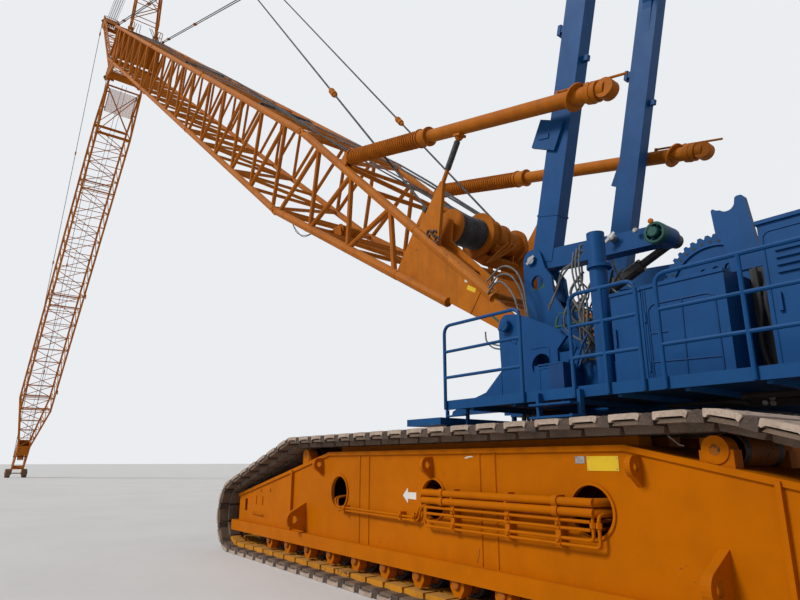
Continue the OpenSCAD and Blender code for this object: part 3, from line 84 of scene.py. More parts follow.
# Mesh shapes, gathered point by point and turned into one piece at the end
class Shape:
    def __init__(self, place=ground, finish=None):
        self.place = place
        self.points = []
        self.faces = []
        self.used = []             # names of the finishes
        self.marks = []            # one number in that list for each face
        if finish:
            self.use(finish)

    def use(self, finish):
        # the faces that follow get this finish
        if finish not in self.used:
            self.used.append(finish)
        self.mark = self.used.index(finish)

    def bothSides(self):
        # a loop over this builds the same thing twice: in place, then mirrored across the middle plane
        home = self.place
        for side in (1, -1):
            self.place = home if side > 0 else home @ mirrored
            yield side
        self.place = home

    def add(self, points, faces):
        start = len(self.points)
        self.points += [self.place @ Vector(point) for point in points]
        self.faces += [[start + index for index in face] for face in faces]
        self.marks += [self.mark] * len(faces)

    def skin(self, loops, ring=False):
        count = len(loops[0])
        points = [point for loop in loops for point in loop]
        faces = []
        spans = len(loops) if ring else len(loops) - 1
        for row in range(spans):
            here, there = row * count, (row + 1) % len(loops) * count
            for i in range(count):
                j = (i + 1) % count
                faces.append([here + i, here + j, there + j, there + i])
        if not ring:
            faces.append(list(range(count))[::-1])
            faces.append([(len(loops) - 1) * count + i for i in range(count)])
        self.add(points, faces)

    def box(self, low, high, degrees=0):
        corners = [Vector((x, y, z)) for z in (low[2], high[2]) for x, y in
                   ((low[0], low[1]), (high[0], low[1]), (high[0], high[1]), (low[0], high[1]))]
        if degrees:
            middle, turn = (Vector(low) + Vector(high)) / 2, turned(degrees, "Y").to_3x3()
            corners = [middle + turn @ (corner - middle) for corner in corners]
        self.skin([corners[:4], corners[4:]])

    def plate(self, look, low, high, degrees=0):
        # look is the plate's middle x and z, its length and its height
        x, z, length, height = look
        self.box((x - length / 2, low, z - height / 2), (x + length / 2, high, z + height / 2), degrees)

    def prism(self, outline, low, high):
        # an outline in x and z, drawn out from one y to another
        self.skin([[(x, y, z) for x, z in outline] for y in (high, low)])

    def tube(self, path, radius, sides=10, ring=False):
        path = [Vector(point) for point in path]
        count = len(path)
        heading = [(path[(i + 1) % count if ring else min(i + 1, count - 1)] -
                    path[(i - 1) % count if ring else max(i - 1, 0)]).normalized() for i in range(count)]
        across = heading[0].orthogonal().normalized()
        loops = []
        for i, point in enumerate(path):
            if i:
                across = heading[i - 1].rotation_difference(heading[i]) @ across
            other = heading[i].cross(across)
            loops.append([point + radius * (math.cos(a) * across + math.sin(a) * other)
                          for a in (2 * math.pi * s / sides for s in range(sides))])
        self.skin(loops, ring=ring)

    def lathe(self, centre, axis, profile, sides=24, ring=False):
        axis = Vector(axis).normalized()
        across = axis.orthogonal().normalized()
        other = axis.cross(across)
        loops = [[Vector(centre) + along * axis + radius * (math.cos(a) * across + math.sin(a) * other)
                  for a in (2 * math.pi * s / sides for s in range(sides))] for along, radius in profile]
        self.skin(loops, ring=ring)

    def bolt(self, centre, axis, radius, height, tip, sides=6, face=None):
        # a chamfered head; tip is the chamfer's height and radius, face the radius of a dimple in its top
        profile = [(0, radius), (height, radius), tip]
        self.lathe(centre, axis, profile + ([(tip[0], face)] if face else []), sides)

    def band(self, centre, axis, start, end, inner, outer, sides, ring=False):
        self.lathe(centre, axis, [(start, inner), (start, outer), (end, outer), (end, inner)], sides, ring)

    def piece(self, name, body, bevel=0, smoothAngle=35):
        mesh = bpy.data.meshes.new(name)
        mesh.from_pydata([tuple(point) for point in self.points], [], self.faces)
        for finish in self.used:
            mesh.materials.append(finishes[finish])
        mesh.polygons.foreach_set("material_index", self.marks)
        # mirrored parts come out inside out, so all faces are turned outwards
        turner = bmesh.new()
        turner.from_mesh(mesh)
        bmesh.ops.recalc_face_normals(turner, faces=turner.faces)
        turner.to_mesh(mesh)
        turner.free()
        mesh.polygons.foreach_set("use_smooth", [True] * len(mesh.polygons))
        mesh.set_sharp_from_angle(angle=math.radians(smoothAngle))
        mesh.validate()
        made = bpy.data.objects.new(name, mesh)
        bpy.context.scene.collection.objects.link(made)
        if bevel:
            edge = made.modifiers.new("edges", "BEVEL")
            edge.width = bevel
            edge.segments = 2
            edge.limit_method = "ANGLE"
            edge.angle_limit = math.radians(40)
            edge.harden_normals = True
        if body:
            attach(made, body)
        return made


def arc(centre, radius, start, end, steps, plane="XZ"):
    points = []
    for i in range(steps + 1):
        a = math.radians(start + (end - start) * i / steps)
        u, v = radius * math.cos(a), radius * math.sin(a)
        x, y, z = centre
        points.append((x + u, y, z + v) if plane == "XZ" else (x, y + u, z + v))
    return points


def bent(corners, radius, steps=4):
    # a path through the corners, each one rounded
    corners = [Vector(corner) for corner in corners]
    path = [corners[0]]
    for before, at, after in zip(corners, corners[1:], corners[2:]):
        into, out = (before - at), (after - at)
        r = min(radius, into.length * 0.45, out.length * 0.45)
        a, b = at + into.normalized() * r, at + out.normalized() * r
        for i in range(steps + 1):
            t = i / steps
            path.append((1 - t) ** 2 * a + 2 * t * (1 - t) * at + t ** 2 * b)
    path.append(corners[-1])
    return path


def flowing(points, steps=8):
    # a smooth path through all the points
    points = [Vector(point) for point in points]
    ends = [2 * points[0] - points[1]] + points + [2 * points[-1] - points[-2]]
    path = []
    for p0, p1, p2, p3 in zip(ends, ends[1:], ends[2:], ends[3:]):
        for i in range(steps):
            t = i / steps
            path.append(0.5 * (2 * p1 + (p2 - p0) * t + (2 * p0 - 5 * p1 + 4 * p2 - p3) * t * t
                               + (3 * p1 - p0 - 3 * p2 + p3) * t ** 3))
    path.append(points[-1])
    return path


def roundedFrame(low, high, radius, at, plane="XZ"):
    # from the lower corner to the upper one, in the plane that lies at this y or this x
    path = []
    for u, z, start in ((high[0] - radius, high[1] - radius, 0), (low[0] + radius, high[1] - radius, 90),
                        (low[0] + radius, low[1] + radius, 180), (high[0] - radius, low[1] + radius, 270)):
        centre = (at, u, z) if plane == "YZ" else (u, at, z)
        path += arc(centre, radius, start, start + 90, 4, plane)
    return path


def circle(count, radius):
    # even spots round a middle point, as pairs
    turns = [2 * math.pi * k / count for k in range(count)]
    return [(radius * math.cos(a), radius * math.sin(a)) for a in turns]


def windRope(shape, centre, drum, half, r, steps=16):
    # rope wound side by side on a drum across the machine
    x, y, z = centre
    path = []
    for i in range(int(half / r) * steps + 1):
        a = 2 * math.pi * i / steps
        path.append((x + (drum + r) * math.cos(a), y - half + 2 * r * i / steps,
                     z + (drum + r) * math.sin(a)))
    shape.tube(path, r, 6)


# Shader sums: a Wire is a socket that can be added, subtracted and multiplied
class Wire:
    def __init__(self, graph, socket):
        self.graph = graph
        self.socket = socket

    def sum(self, operation, first, second):
        return self.graph.node("ShaderNodeMath", {"operation": operation}, {0: first, 1: second})

    def __add__(self, other):
        return self.sum("ADD", self, other)

    def __radd__(self, other):
        return self.sum("ADD", other, self)

    def __sub__(self, other):
        return self.sum("SUBTRACT", self, other)

    def __rsub__(self, other):
        return self.sum("SUBTRACT", other, self)

    def __mul__(self, other):
        return self.sum("MULTIPLY", self, other)

    def __rmul__(self, other):
        return self.sum("MULTIPLY", other, self)


# A shader's nodes: node makes every one of them, feed gives a socket its value or link
class Graph:
    def __init__(self, tree):
        self.tree = tree

    def feed(self, socket, value):
        # a colour gets its fourth number here
        if isinstance(value, Wire):
            self.tree.links.new(value.socket, socket)
        elif isinstance(value, tuple) and len(socket.default_value) == 4:
            socket.default_value = (*value, 1)
        else:
            socket.default_value = value

    def node(self, kind, settings=None, inputs=None, output=0):
        made = self.tree.nodes.new(kind)
        for name, value in (settings or {}).items():
            setattr(made, name, value)
        for name, value in (inputs or {}).items():
            self.feed(made.inputs[name], value)
        return Wire(self, made.outputs[output])


# A material under its name, with the patterns that the paints and metals share
class Finish(Graph):
    def __init__(self, name):
        self.material = bpy.data.materials.new(name)
        self.material.use_nodes = True
        super().__init__(self.material.node_tree)
        self.shader = self.tree.nodes["Principled BSDF"]
        self.place = self.node("ShaderNodeTexCoord", output="Object")

    def set(self, **values):
        # the shader's sockets by name, with _ for each space
        for name, value in values.items():
            self.feed(self.shader.inputs[name.replace("_", " ")], value)

    def noise(self, scale, detail=4, roughness=0.55, stretch=(1, 1, 1)):
        spot = self.node("ShaderNodeMapping", {}, {"Vector": self.place, "Scale": stretch})
        return self.node("ShaderNodeTexNoise", {},
                         {"Vector": spot, "Scale": scale, "Detail": detail, "Roughness": roughness})

    def between(self, value, low, high, toLow=0, toHigh=1):
        return self.node("ShaderNodeMapRange", {}, {0: value, 1: low, 2: high, 3: toLow, 4: toHigh})

    def mix(self, factor, first, second):
        return self.node("ShaderNodeMix", {"data_type": "RGBA"}, {0: factor, 6: first, 7: second}, output=2)

    def facing(self, axis):
        normal = self.node("ShaderNodeNewGeometry", output="Normal")
        return self.node("ShaderNodeSeparateXYZ", {}, {0: normal}, output="XYZ".index(axis))

    def bump(self, height, strength, distance):
        return self.node("ShaderNodeBump", {},
                         {"Height": height, "Strength": strength, "Distance": distance})


# Sizes of the patterns on paint, as noise scales, and how far the streaks are drawn out downwards
weather = {
    "fade": 0.9,
    "mottle": 7,
    "streaks": 9,
    "streakStretch": (1, 1, 0.12),
    "chips": 55,
    "chipPatches": 3.1,
    "grain": 160,
}


# Paint: a fresh colour that fades, dust on what faces up, streaks that run down, and small rusty chips
def paintedSteel(name, look):
    f = Finish(name)
    fade = f.between(f.noise(weather["fade"], 3), 0.35, 0.7)
    mottle = f.noise(weather["mottle"], 6, 0.65)
    streaks = f.between(f.noise(weather["streaks"], 4, 0.6, weather["streakStretch"]), 0.5, 0.78)
    dust = f.between(f.facing("Z"), 0.35, 1.0) * f.between(mottle, 0.3, 0.7, 0.35, 1) * look["dustAmount"]
    flaking = f.noise(weather["chips"], 5, 0.7) * f.between(f.noise(weather["chipPatches"], 2), 0.4, 0.65)
    chips = f.between(flaking, look["chipLevel"], look["chipLevel"] + 0.03)
    colour = f.mix(fade, look["fresh"], look["faded"])
    colour = f.mix(f.between(mottle, 0.42, 0.75) * 0.4, colour, look["shade"])
    colour = f.mix(streaks * look["streakAmount"], colour, look["grime"])
    colour = f.mix(dust, colour, look["dust"])
    colour = f.mix(chips, colour, look["rust"])
    grain = f.noise(weather["grain"], 3)
    f.set(Base_Color=colour,
          Roughness=look["roughness"] + 0.25 * dust + 0.12 * mottle + 0.25 * chips,
          Specular_IOR_Level=look["gloss"],
          Normal=f.bump(grain * 0.25 + mottle * 0.5 - chips * 0.6, 0.35, look["relief"]))
    return f.material


# Bare, greased or dirty metal
def workedMetal(name, look):
    f = Finish(name)
    blotches = f.between(f.noise(look["blotchScale"], 5, 0.65), 0.35, 0.68)
    specks = f.between(f.noise(look["blotchScale"] * 9, 4, 0.7), 0.5, 0.66)
    colour = f.mix(blotches, look["clean"], look["dirty"])
    colour = f.mix(specks * 0.55, colour, look["speck"])
    f.set(Base_Color=colour, Metallic=look["metal"] * (1 - blotches * 0.7),
          Roughness=look["roughness"] + 0.28 * blotches,
          Specular_IOR_Level=0.3,
          Normal=f.bump(blotches * 0.5 + specks * 0.5, 0.5, look["relief"]))
    return f.material


paints = {
    "crawlerOrange": {
        "fresh": (0.48, 0.124, 0.0003), "faded": (0.43, 0.11, 0.0004), "shade": (0.33, 0.078, 0.0004),
        "grime": (0.24, 0.065, 0.003), "dust": (0.46, 0.16, 0.012), "rust": (0.14, 0.04, 0.015),
        "dustAmount": 0.25, "streakAmount": 0.16, "chipLevel": 0.635,
        "roughness": 0.42, "relief": 0.002, "gloss": 0.03,
    },
    # darker, dirtier copy of the frame's orange for the rollers: partly dirt, partly painted shade for
    # rollers that sit under the frame
    "dirtyShadedRollerOrange": {
        "fresh": (0.4, 0.105, 0.002), "faded": (0.25, 0.07, 0.006), "shade": (0.12, 0.045, 0.012),
        "grime": (0.06, 0.032, 0.016), "dust": (0.2, 0.12, 0.06), "rust": (0.08, 0.035, 0.018),
        "dustAmount": 0.5, "streakAmount": 0.5, "chipLevel": 0.56,
        "roughness": 0.55, "relief": 0.003, "gloss": 0.15,
    },
    "latticeOrange": {
        "fresh": (0.45, 0.135, 0.006), "faded": (0.37, 0.1, 0.005), "shade": (0.24, 0.06, 0.005),
        "grime": (0.13, 0.04, 0.01), "dust": (0.62, 0.34, 0.15), "rust": (0.12, 0.035, 0.015),
        "dustAmount": 0.3, "streakAmount": 0.4, "chipLevel": 0.585,
        "roughness": 0.5, "relief": 0.003, "gloss": 0.1,
    },
    "machineBlue": {
        "fresh": (0.004, 0.056, 0.185), "faded": (0.006, 0.07, 0.21), "shade": (0.003, 0.036, 0.115),
        "grime": (0.004, 0.02, 0.058), "dust": (0.045, 0.1, 0.19), "rust": (0.03, 0.028, 0.03),
        "dustAmount": 0.22, "streakAmount": 0.2, "chipLevel": 0.62,
        "roughness": 0.42, "relief": 0.002, "gloss": 0.14,
    },
    # darker blue: on the panels' seam ribs it is painted shade along the pressed ridges; it is also the
    # colour of the dark cover by the front opening
    "seamBlue": {
        "fresh": (0.004, 0.043, 0.15), "faded": (0.005, 0.05, 0.16), "shade": (0.003, 0.028, 0.1),
        "grime": (0.004, 0.014, 0.04), "dust": (0.05, 0.1, 0.18), "rust": (0.03, 0.03, 0.03),
        "dustAmount": 0.2, "streakAmount": 0.2, "chipLevel": 0.64,
        "roughness": 0.5, "relief": 0.002, "gloss": 0.2,
    },
    "greenGrey": {
        "fresh": (0.005, 0.06, 0.05), "faded": (0.009, 0.08, 0.062), "shade": (0.005, 0.035, 0.032),
        "grime": (0.01, 0.028, 0.024), "dust": (0.06, 0.13, 0.1), "rust": (0.05, 0.03, 0.02),
        "dustAmount": 0.25, "streakAmount": 0.2, "chipLevel": 0.6,
        "roughness": 0.5, "relief": 0.002, "gloss": 0.3,
    },
    "padYellow": {
        "fresh": (0.62, 0.25, 0.012), "faded": (0.52, 0.19, 0.012), "shade": (0.3, 0.11, 0.015),
        "grime": (0.12, 0.06, 0.02), "dust": (0.42, 0.26, 0.1), "rust": (0.1, 0.055, 0.03),
        "dustAmount": 0.55, "streakAmount": 0.4, "chipLevel": 0.5,
        "roughness": 0.6, "relief": 0.004, "gloss": 0.2,
    },
    "signWhite": {
        "fresh": (0.7, 0.68, 0.62), "faded": (0.62, 0.6, 0.54), "shade": (0.5, 0.48, 0.42),
        "grime": (0.3, 0.28, 0.24), "dust": (0.5, 0.46, 0.38), "rust": (0.2, 0.1, 0.05),
        "dustAmount": 0.2, "streakAmount": 0.2, "chipLevel": 0.6,
        "roughness": 0.55, "relief": 0.001, "gloss": 0.3,
    },
    "signYellow": {
        "fresh": (0.72, 0.46, 0.008), "faded": (0.66, 0.42, 0.012), "shade": (0.55, 0.35, 0.015),
        "grime": (0.3, 0.2, 0.03), "dust": (0.5, 0.42, 0.2), "rust": (0.2, 0.1, 0.05),
        "dustAmount": 0.2, "streakAmount": 0.15, "chipLevel": 0.6,
        "roughness": 0.5, "relief": 0.001, "gloss": 0.3,
    },
    "lampLens": {
        "fresh": (0.6, 0.62, 0.62), "faded": (0.5, 0.52, 0.52), "shade": (0.35, 0.37, 0.38),
        "grime": (0.2, 0.2, 0.2), "dust": (0.4, 0.38, 0.33), "rust": (0.3, 0.28, 0.25),
        "dustAmount": 0.3, "streakAmount": 0.15, "chipLevel": 0.7,
        "roughness": 0.12, "relief": 0.0008, "gloss": 0.6,
    },
}
metals = {
    "shoeTop": {
        "clean": (0.47, 0.36, 0.28), "dirty": (0.32, 0.235, 0.18), "speck": (0.19, 0.13, 0.09),
        "blotchScale": 9, "metal": 0.1, "roughness": 0.5, "relief": 0.004,
    },
    "shoeSteel": {
        "clean": (0.09, 0.06, 0.045), "dirty": (0.045, 0.032, 0.026), "speck": (0.16, 0.1, 0.07),
        "blotchScale": 12, "metal": 0.25, "roughness": 0.5, "relief": 0.005,
    },
    "earthedSteel": {
        "clean": (0.17, 0.115, 0.08), "dirty": (0.1, 0.07, 0.05), "speck": (0.26, 0.18, 0.12),
        "blotchScale": 10, "metal": 0.1, "roughness": 0.62, "relief": 0.004,
    },
    "darkSteel": {
        "clean": (0.035, 0.033, 0.035), "dirty": (0.06, 0.05, 0.045), "speck": (0.09, 0.075, 0.06),
        "blotchScale": 14, "metal": 0.4, "roughness": 0.42, "relief": 0.003,
    },
    "ropeSteel": {
        "clean": (0.055, 0.055, 0.06), "dirty": (0.03, 0.028, 0.028), "speck": (0.12, 0.11, 0.1),
        "blotchScale": 30, "metal": 0.5, "roughness": 0.5, "relief": 0.002,
    },
    "brightSteel": {
        "clean": (0.45, 0.45, 0.46), "dirty": (0.22, 0.2, 0.18), "speck": (0.1, 0.09, 0.08),
        "blotchScale": 20, "metal": 0.8, "roughness": 0.3, "relief": 0.001,
    },
    # near-black: rubber hoses, seals and seat, and also the dark sheets and discs that stand for painted
    # shade in the recess, the slots and the holes
    "darkRubberAndShade": {
        "clean": (0.018, 0.018, 0.02), "dirty": (0.04, 0.038, 0.035), "speck": (0.07, 0.065, 0.06),
        "blotchScale": 18, "metal": 0.0, "roughness": 0.55, "relief": 0.001,
    },
    "greyHose": {
        "clean": (0.13, 0.14, 0.14), "dirty": (0.07, 0.07, 0.07), "speck": (0.22, 0.22, 0.21),
        "blotchScale": 18, "metal": 0.0, "roughness": 0.5, "relief": 0.001,
    },
}
finishes = {name: paintedSteel(name, look) for name, look in paints.items()}
finishes.update({name: workedMetal(name, look) for name, look in metals.items()})


# Tinted cab glass with a film of dust and wipe marks
glass = {
    "tint": (0.05, 0.075, 0.09),
    "dust": (0.12, 0.13, 0.13),
    "filmScale": 5,
    "wipeScale": 16,
    "wipeStretch": (1, 1, 0.2),
    "roughness": 0.06,
    "alpha": 0.86,
}


def cabGlass():
    f = Finish("cabGlass")
    film = f.between(f.noise(glass["filmScale"], 5, 0.6), 0.35, 0.75)
    wipes = f.between(f.noise(glass["wipeScale"], 3, 0.5, glass["wipeStretch"]), 0.45, 0.7)
    f.set(Base_Color=f.mix(film, glass["tint"], glass["dust"]),
          Roughness=glass["roughness"] + 0.2 * film * wipes,
          Alpha=glass["alpha"] + 0.1 * film,
          Normal=f.bump(wipes, 0.05, 0.0003))
    return f.material


finishes["cabGlass"] = cabGlass()
print("finishes wired:", ", ".join(finishes))

slotFinish = {
    "orange_paint": "crawlerOrange", "blue_paint": "machineBlue", "worn_steel": "darkSteel",
    "rope_steel": "ropeSteel", "window_glass": "cabGlass",
}
nodeFinish = {
    # the rollers' node takes the darker roller paint, which is partly painted shade
    "track_left": "shoeSteel", "track_right": "shoeSteel", "rollers": "dirtyShadedRollerOrange",
    "end_wheels": "earthedSteel", "tip_wheels": "earthedSteel",
}
latticeBodies = ("boom", "jib")
bodies = frame["record"]["behaviour"]["bodies"]
for part in frame["record"]["subparts"]:
    name = part["node"]
    finish = nodeFinish.get(name, slotFinish[part["material_slot"]])
    if finish == "crawlerOrange" and any(name in bodies[body] for body in latticeBodies):
        finish = "latticeOrange"
    nodes[name].data.materials.clear()
    nodes[name].data.materials.append(finishes[finish])
print("frame nodes painted")


# Crawler tracks: every shoe has a pale worn slab, a dark tongue under the next one, links and bolts
belt = {
    "shoes": 68,
    # x, z, radius
    "wheels": [(2.74, 0.3, 0.3), (1.6, 0.67, 0.26), (-1.6, 0.67, 0.26), (-2.74, 0.3, 0.3)], "sideY": 2.1,
    "width": 0.75,
    "slab": 0.026,
    "depth": 0.044,
    "railDepth": 0.076,
    "rails": ((-0.245, 0.045), (-0.11, 0.06), (0.11, 0.06), (0.245, 0.045)),       # y, half width
    "boltRows": (-0.27, -0.13, 0.13, 0.27),
    "boltRadius": 0.011,
    # outlines as pairs: share of the pitch, depth below the running surface
    "slabTop": [(0.0, 0.006), (0.02, 0.001), (0.3, 0), (0.62, 0), (0.7, 0.003), (0.72, 0.01)],
    "tongue": [(0.66, 0.046), (0.68, 0.026), (0.73, 0.011), (0.8, 0.004), (0.88, 0.002), (0.955, 0.005),
               (0.985, 0.014), (0.99, 0.05)],
}


def beltLine():
    wheels = belt["wheels"]
    starts = []
    for i in range(4):
        a, b = wheels[i], wheels[(i + 1) % 4]
        d = Vector((b[0] - a[0], b[1] - a[1]))
        slope = math.asin((a[2] - b[2]) / d.length)
        starts.append(math.degrees(math.atan2(d.y, d.x)) - 90 + math.degrees(slope))
    line = []
    for i, (x, z, r) in enumerate(wheels):
        begin = starts[i - 1]
        turn = (starts[i] - begin) % 360
        for s in range(25):
            a = math.radians(begin + turn * s / 24)
            out = Vector((math.cos(a), math.sin(a)))
            line.append((Vector((x, z)) + r * out, out))
    return line + [line[0]]


def beltAt(line, distance):
    for (p, n), (q, m) in zip(line, line[1:]):
        step = (q - p).length
        if distance <= step and step > 0:
            t = distance / step
            return p.lerp(q, t), n.lerp(m, t).normalized()
        distance -= step
    return line[-1]


def layTrack(side):
    line = beltLine()
    total = sum((q[0] - p[0]).length for p, q in zip(line, line[1:]))
    pitch = total / belt["shoes"]
    shape = Shape(Matrix.Translation((0, side * belt["sideY"], 0)))
    half = belt["width"] / 2
    slab, depth = belt["slab"], belt["depth"]

    def outline(start, pairs):
        points = []
        for s, inward in pairs:
            spot, out = beltAt(line, (start + s * pitch) % total)
            spot = spot - out * inward
            points.append((spot.x, spot.y))
        return points[::-1]

    under = [(0.67, slab + 0.004), (0.6, slab - 0.004), (0.1, slab - 0.004), (0.035, slab + 0.006),
             (0.0, slab + 0.002)]
    wedge = [(0.1, slab + 0.002), (0.68, slab + 0.002), (0.78, depth), (0.04, depth)]
    railTop, railEnd = depth - 0.004, belt["railDepth"] - 0.001
    rail = [(0.03, railTop), (0.97, railTop), (0.93, railEnd), (0.07, railEnd)]
    for i in range(belt["shoes"]):
        start = i * pitch
        middle, out = beltAt(line, (start + 0.4 * pitch) % total)
        onGround = middle.y < 0.01
        shape.use("shoeTop")
        shape.prism(outline(start, belt["slabTop"] + under), -half, half)
        shape.use("earthedSteel")
        shape.prism(outline(start, wedge), -half + 0.012, half - 0.012)
        shape.use("shoeSteel")
        shape.prism(outline(start, belt["tongue"]), -half + 0.006, half - 0.006)
        shape.use("padYellow" if onGround else "earthedSteel")
        for y, wide in belt["rails"]:
            shape.prism(outline(start, rail), y - wide, y + wide)
        shape.use("darkSteel")
        along = Vector((-out.y, out.x))
        axis = Vector((out.x, 0, out.y))
        for y in belt["boltRows"]:
            for share in (-0.2, 0.16):
                at = middle + along * (share * pitch)
                base = Vector((at.x, y, at.y))
                shape.bolt(base - axis * 0.004, axis, belt["boltRadius"], 0.0035, (0.0045, 0.007))
    return shape


for side, label in ((1, "left"), (-1, "right")):
    shoes = layTrack(side).piece(label + "Shoes", "undercarriage", smoothAngle=30)
    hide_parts("track_" + label)
print("tracks laid")

# Rollers: dark running rims and capped axle ends
rollers = {
    "count": 14,
    "pitch": 0.325,
    "axleZ": 0.15,
    "radius": 0.074,
    "carriersX": (-1.56, 1.56),
    "carrierZ": 0.792,
}


def dressRollers():
    shape = Shape()
    r = rollers["radius"]
    rim = [(0.1, r - 0.004), (0.1, r + 0.003), (0.105, r + 0.0045), (0.15, r + 0.0045), (0.154, r),
           (0.154, r - 0.014), (0.151, r - 0.016), (0.151, r - 0.03)]
    hub = [(0.15, 0.056), (0.162, 0.056), (0.168, 0.05), (0.168, 0.03), (0.172, 0.028), (0.172, 0.01)]
    axleEnd = [(0.268, 0.026), (0.276, 0.026), (0.28, 0.021), (0.28, 0.002)]
    carrierRim = [(0.11, 0.058), (0.11, 0.0625), (0.148, 0.0625), (0.15, 0.06), (0.15, 0.03)]
    for side in (-1, 1):
        y = side * belt["sideY"]
        for out in (-1, 1):
            axis = (0, out, 0)
            for i in range(rollers["count"]):
                centre = ((i - (rollers["count"] - 1) / 2) * rollers["pitch"], y, rollers["axleZ"])
                shape.use("darkSteel")
                shape.lathe(centre, axis, rim, 28)
                # hubs in the darker roller paint: dirt and painted shade
                shape.use("dirtyShadedRollerOrange")
                shape.lathe(centre, axis, hub, 20)
                shape.lathe(centre, axis, axleEnd, 12)
            shape.use("darkSteel")
            for x in rollers["carriersX"]:
                shape.lathe((x, y, rollers["carrierZ"]), axis, carrierRim, 28)
    return shape


dressRollers().piece("rollerRims", "undercarriage")
print("rollers dressed")

# Trim on the crawler frames' outer plates
frameTrim = {
    "plateY": 2.35,
    "holes": (1.05, 0.035, -1.015),
    "pipe": 0.0065,
    "thinPipes": (0.512, 0.48, 0.44, 0.415),   # heights
    "clips": (0.93, 0.3, 0.17),
    "clamps": (-0.17, -0.56, -0.86),
    "arrow": (0.255, 0.562, 0.128, 0.086),     # middle x and z, length, height
    # shares of the arrow's length and of half its height
    "arrowShape": [(0.12, -1), (0.12, -0.42), (-0.5, -0.45), (-0.5, 0.45), (0.12, 0.42), (0.12, 1),
                   (0.5, 0)],
    "plate": (-1.085, 0.744, 0.155, 0.06),
    "screws": ((2.56, 0.505), (2.36, 0.52), (2.18, 0.528), (2.5, 0.33), (-2.4, 0.5), (-2.2, 0.52)),
    "seams": (0.8, 0.69, -0.45, -0.34),
}


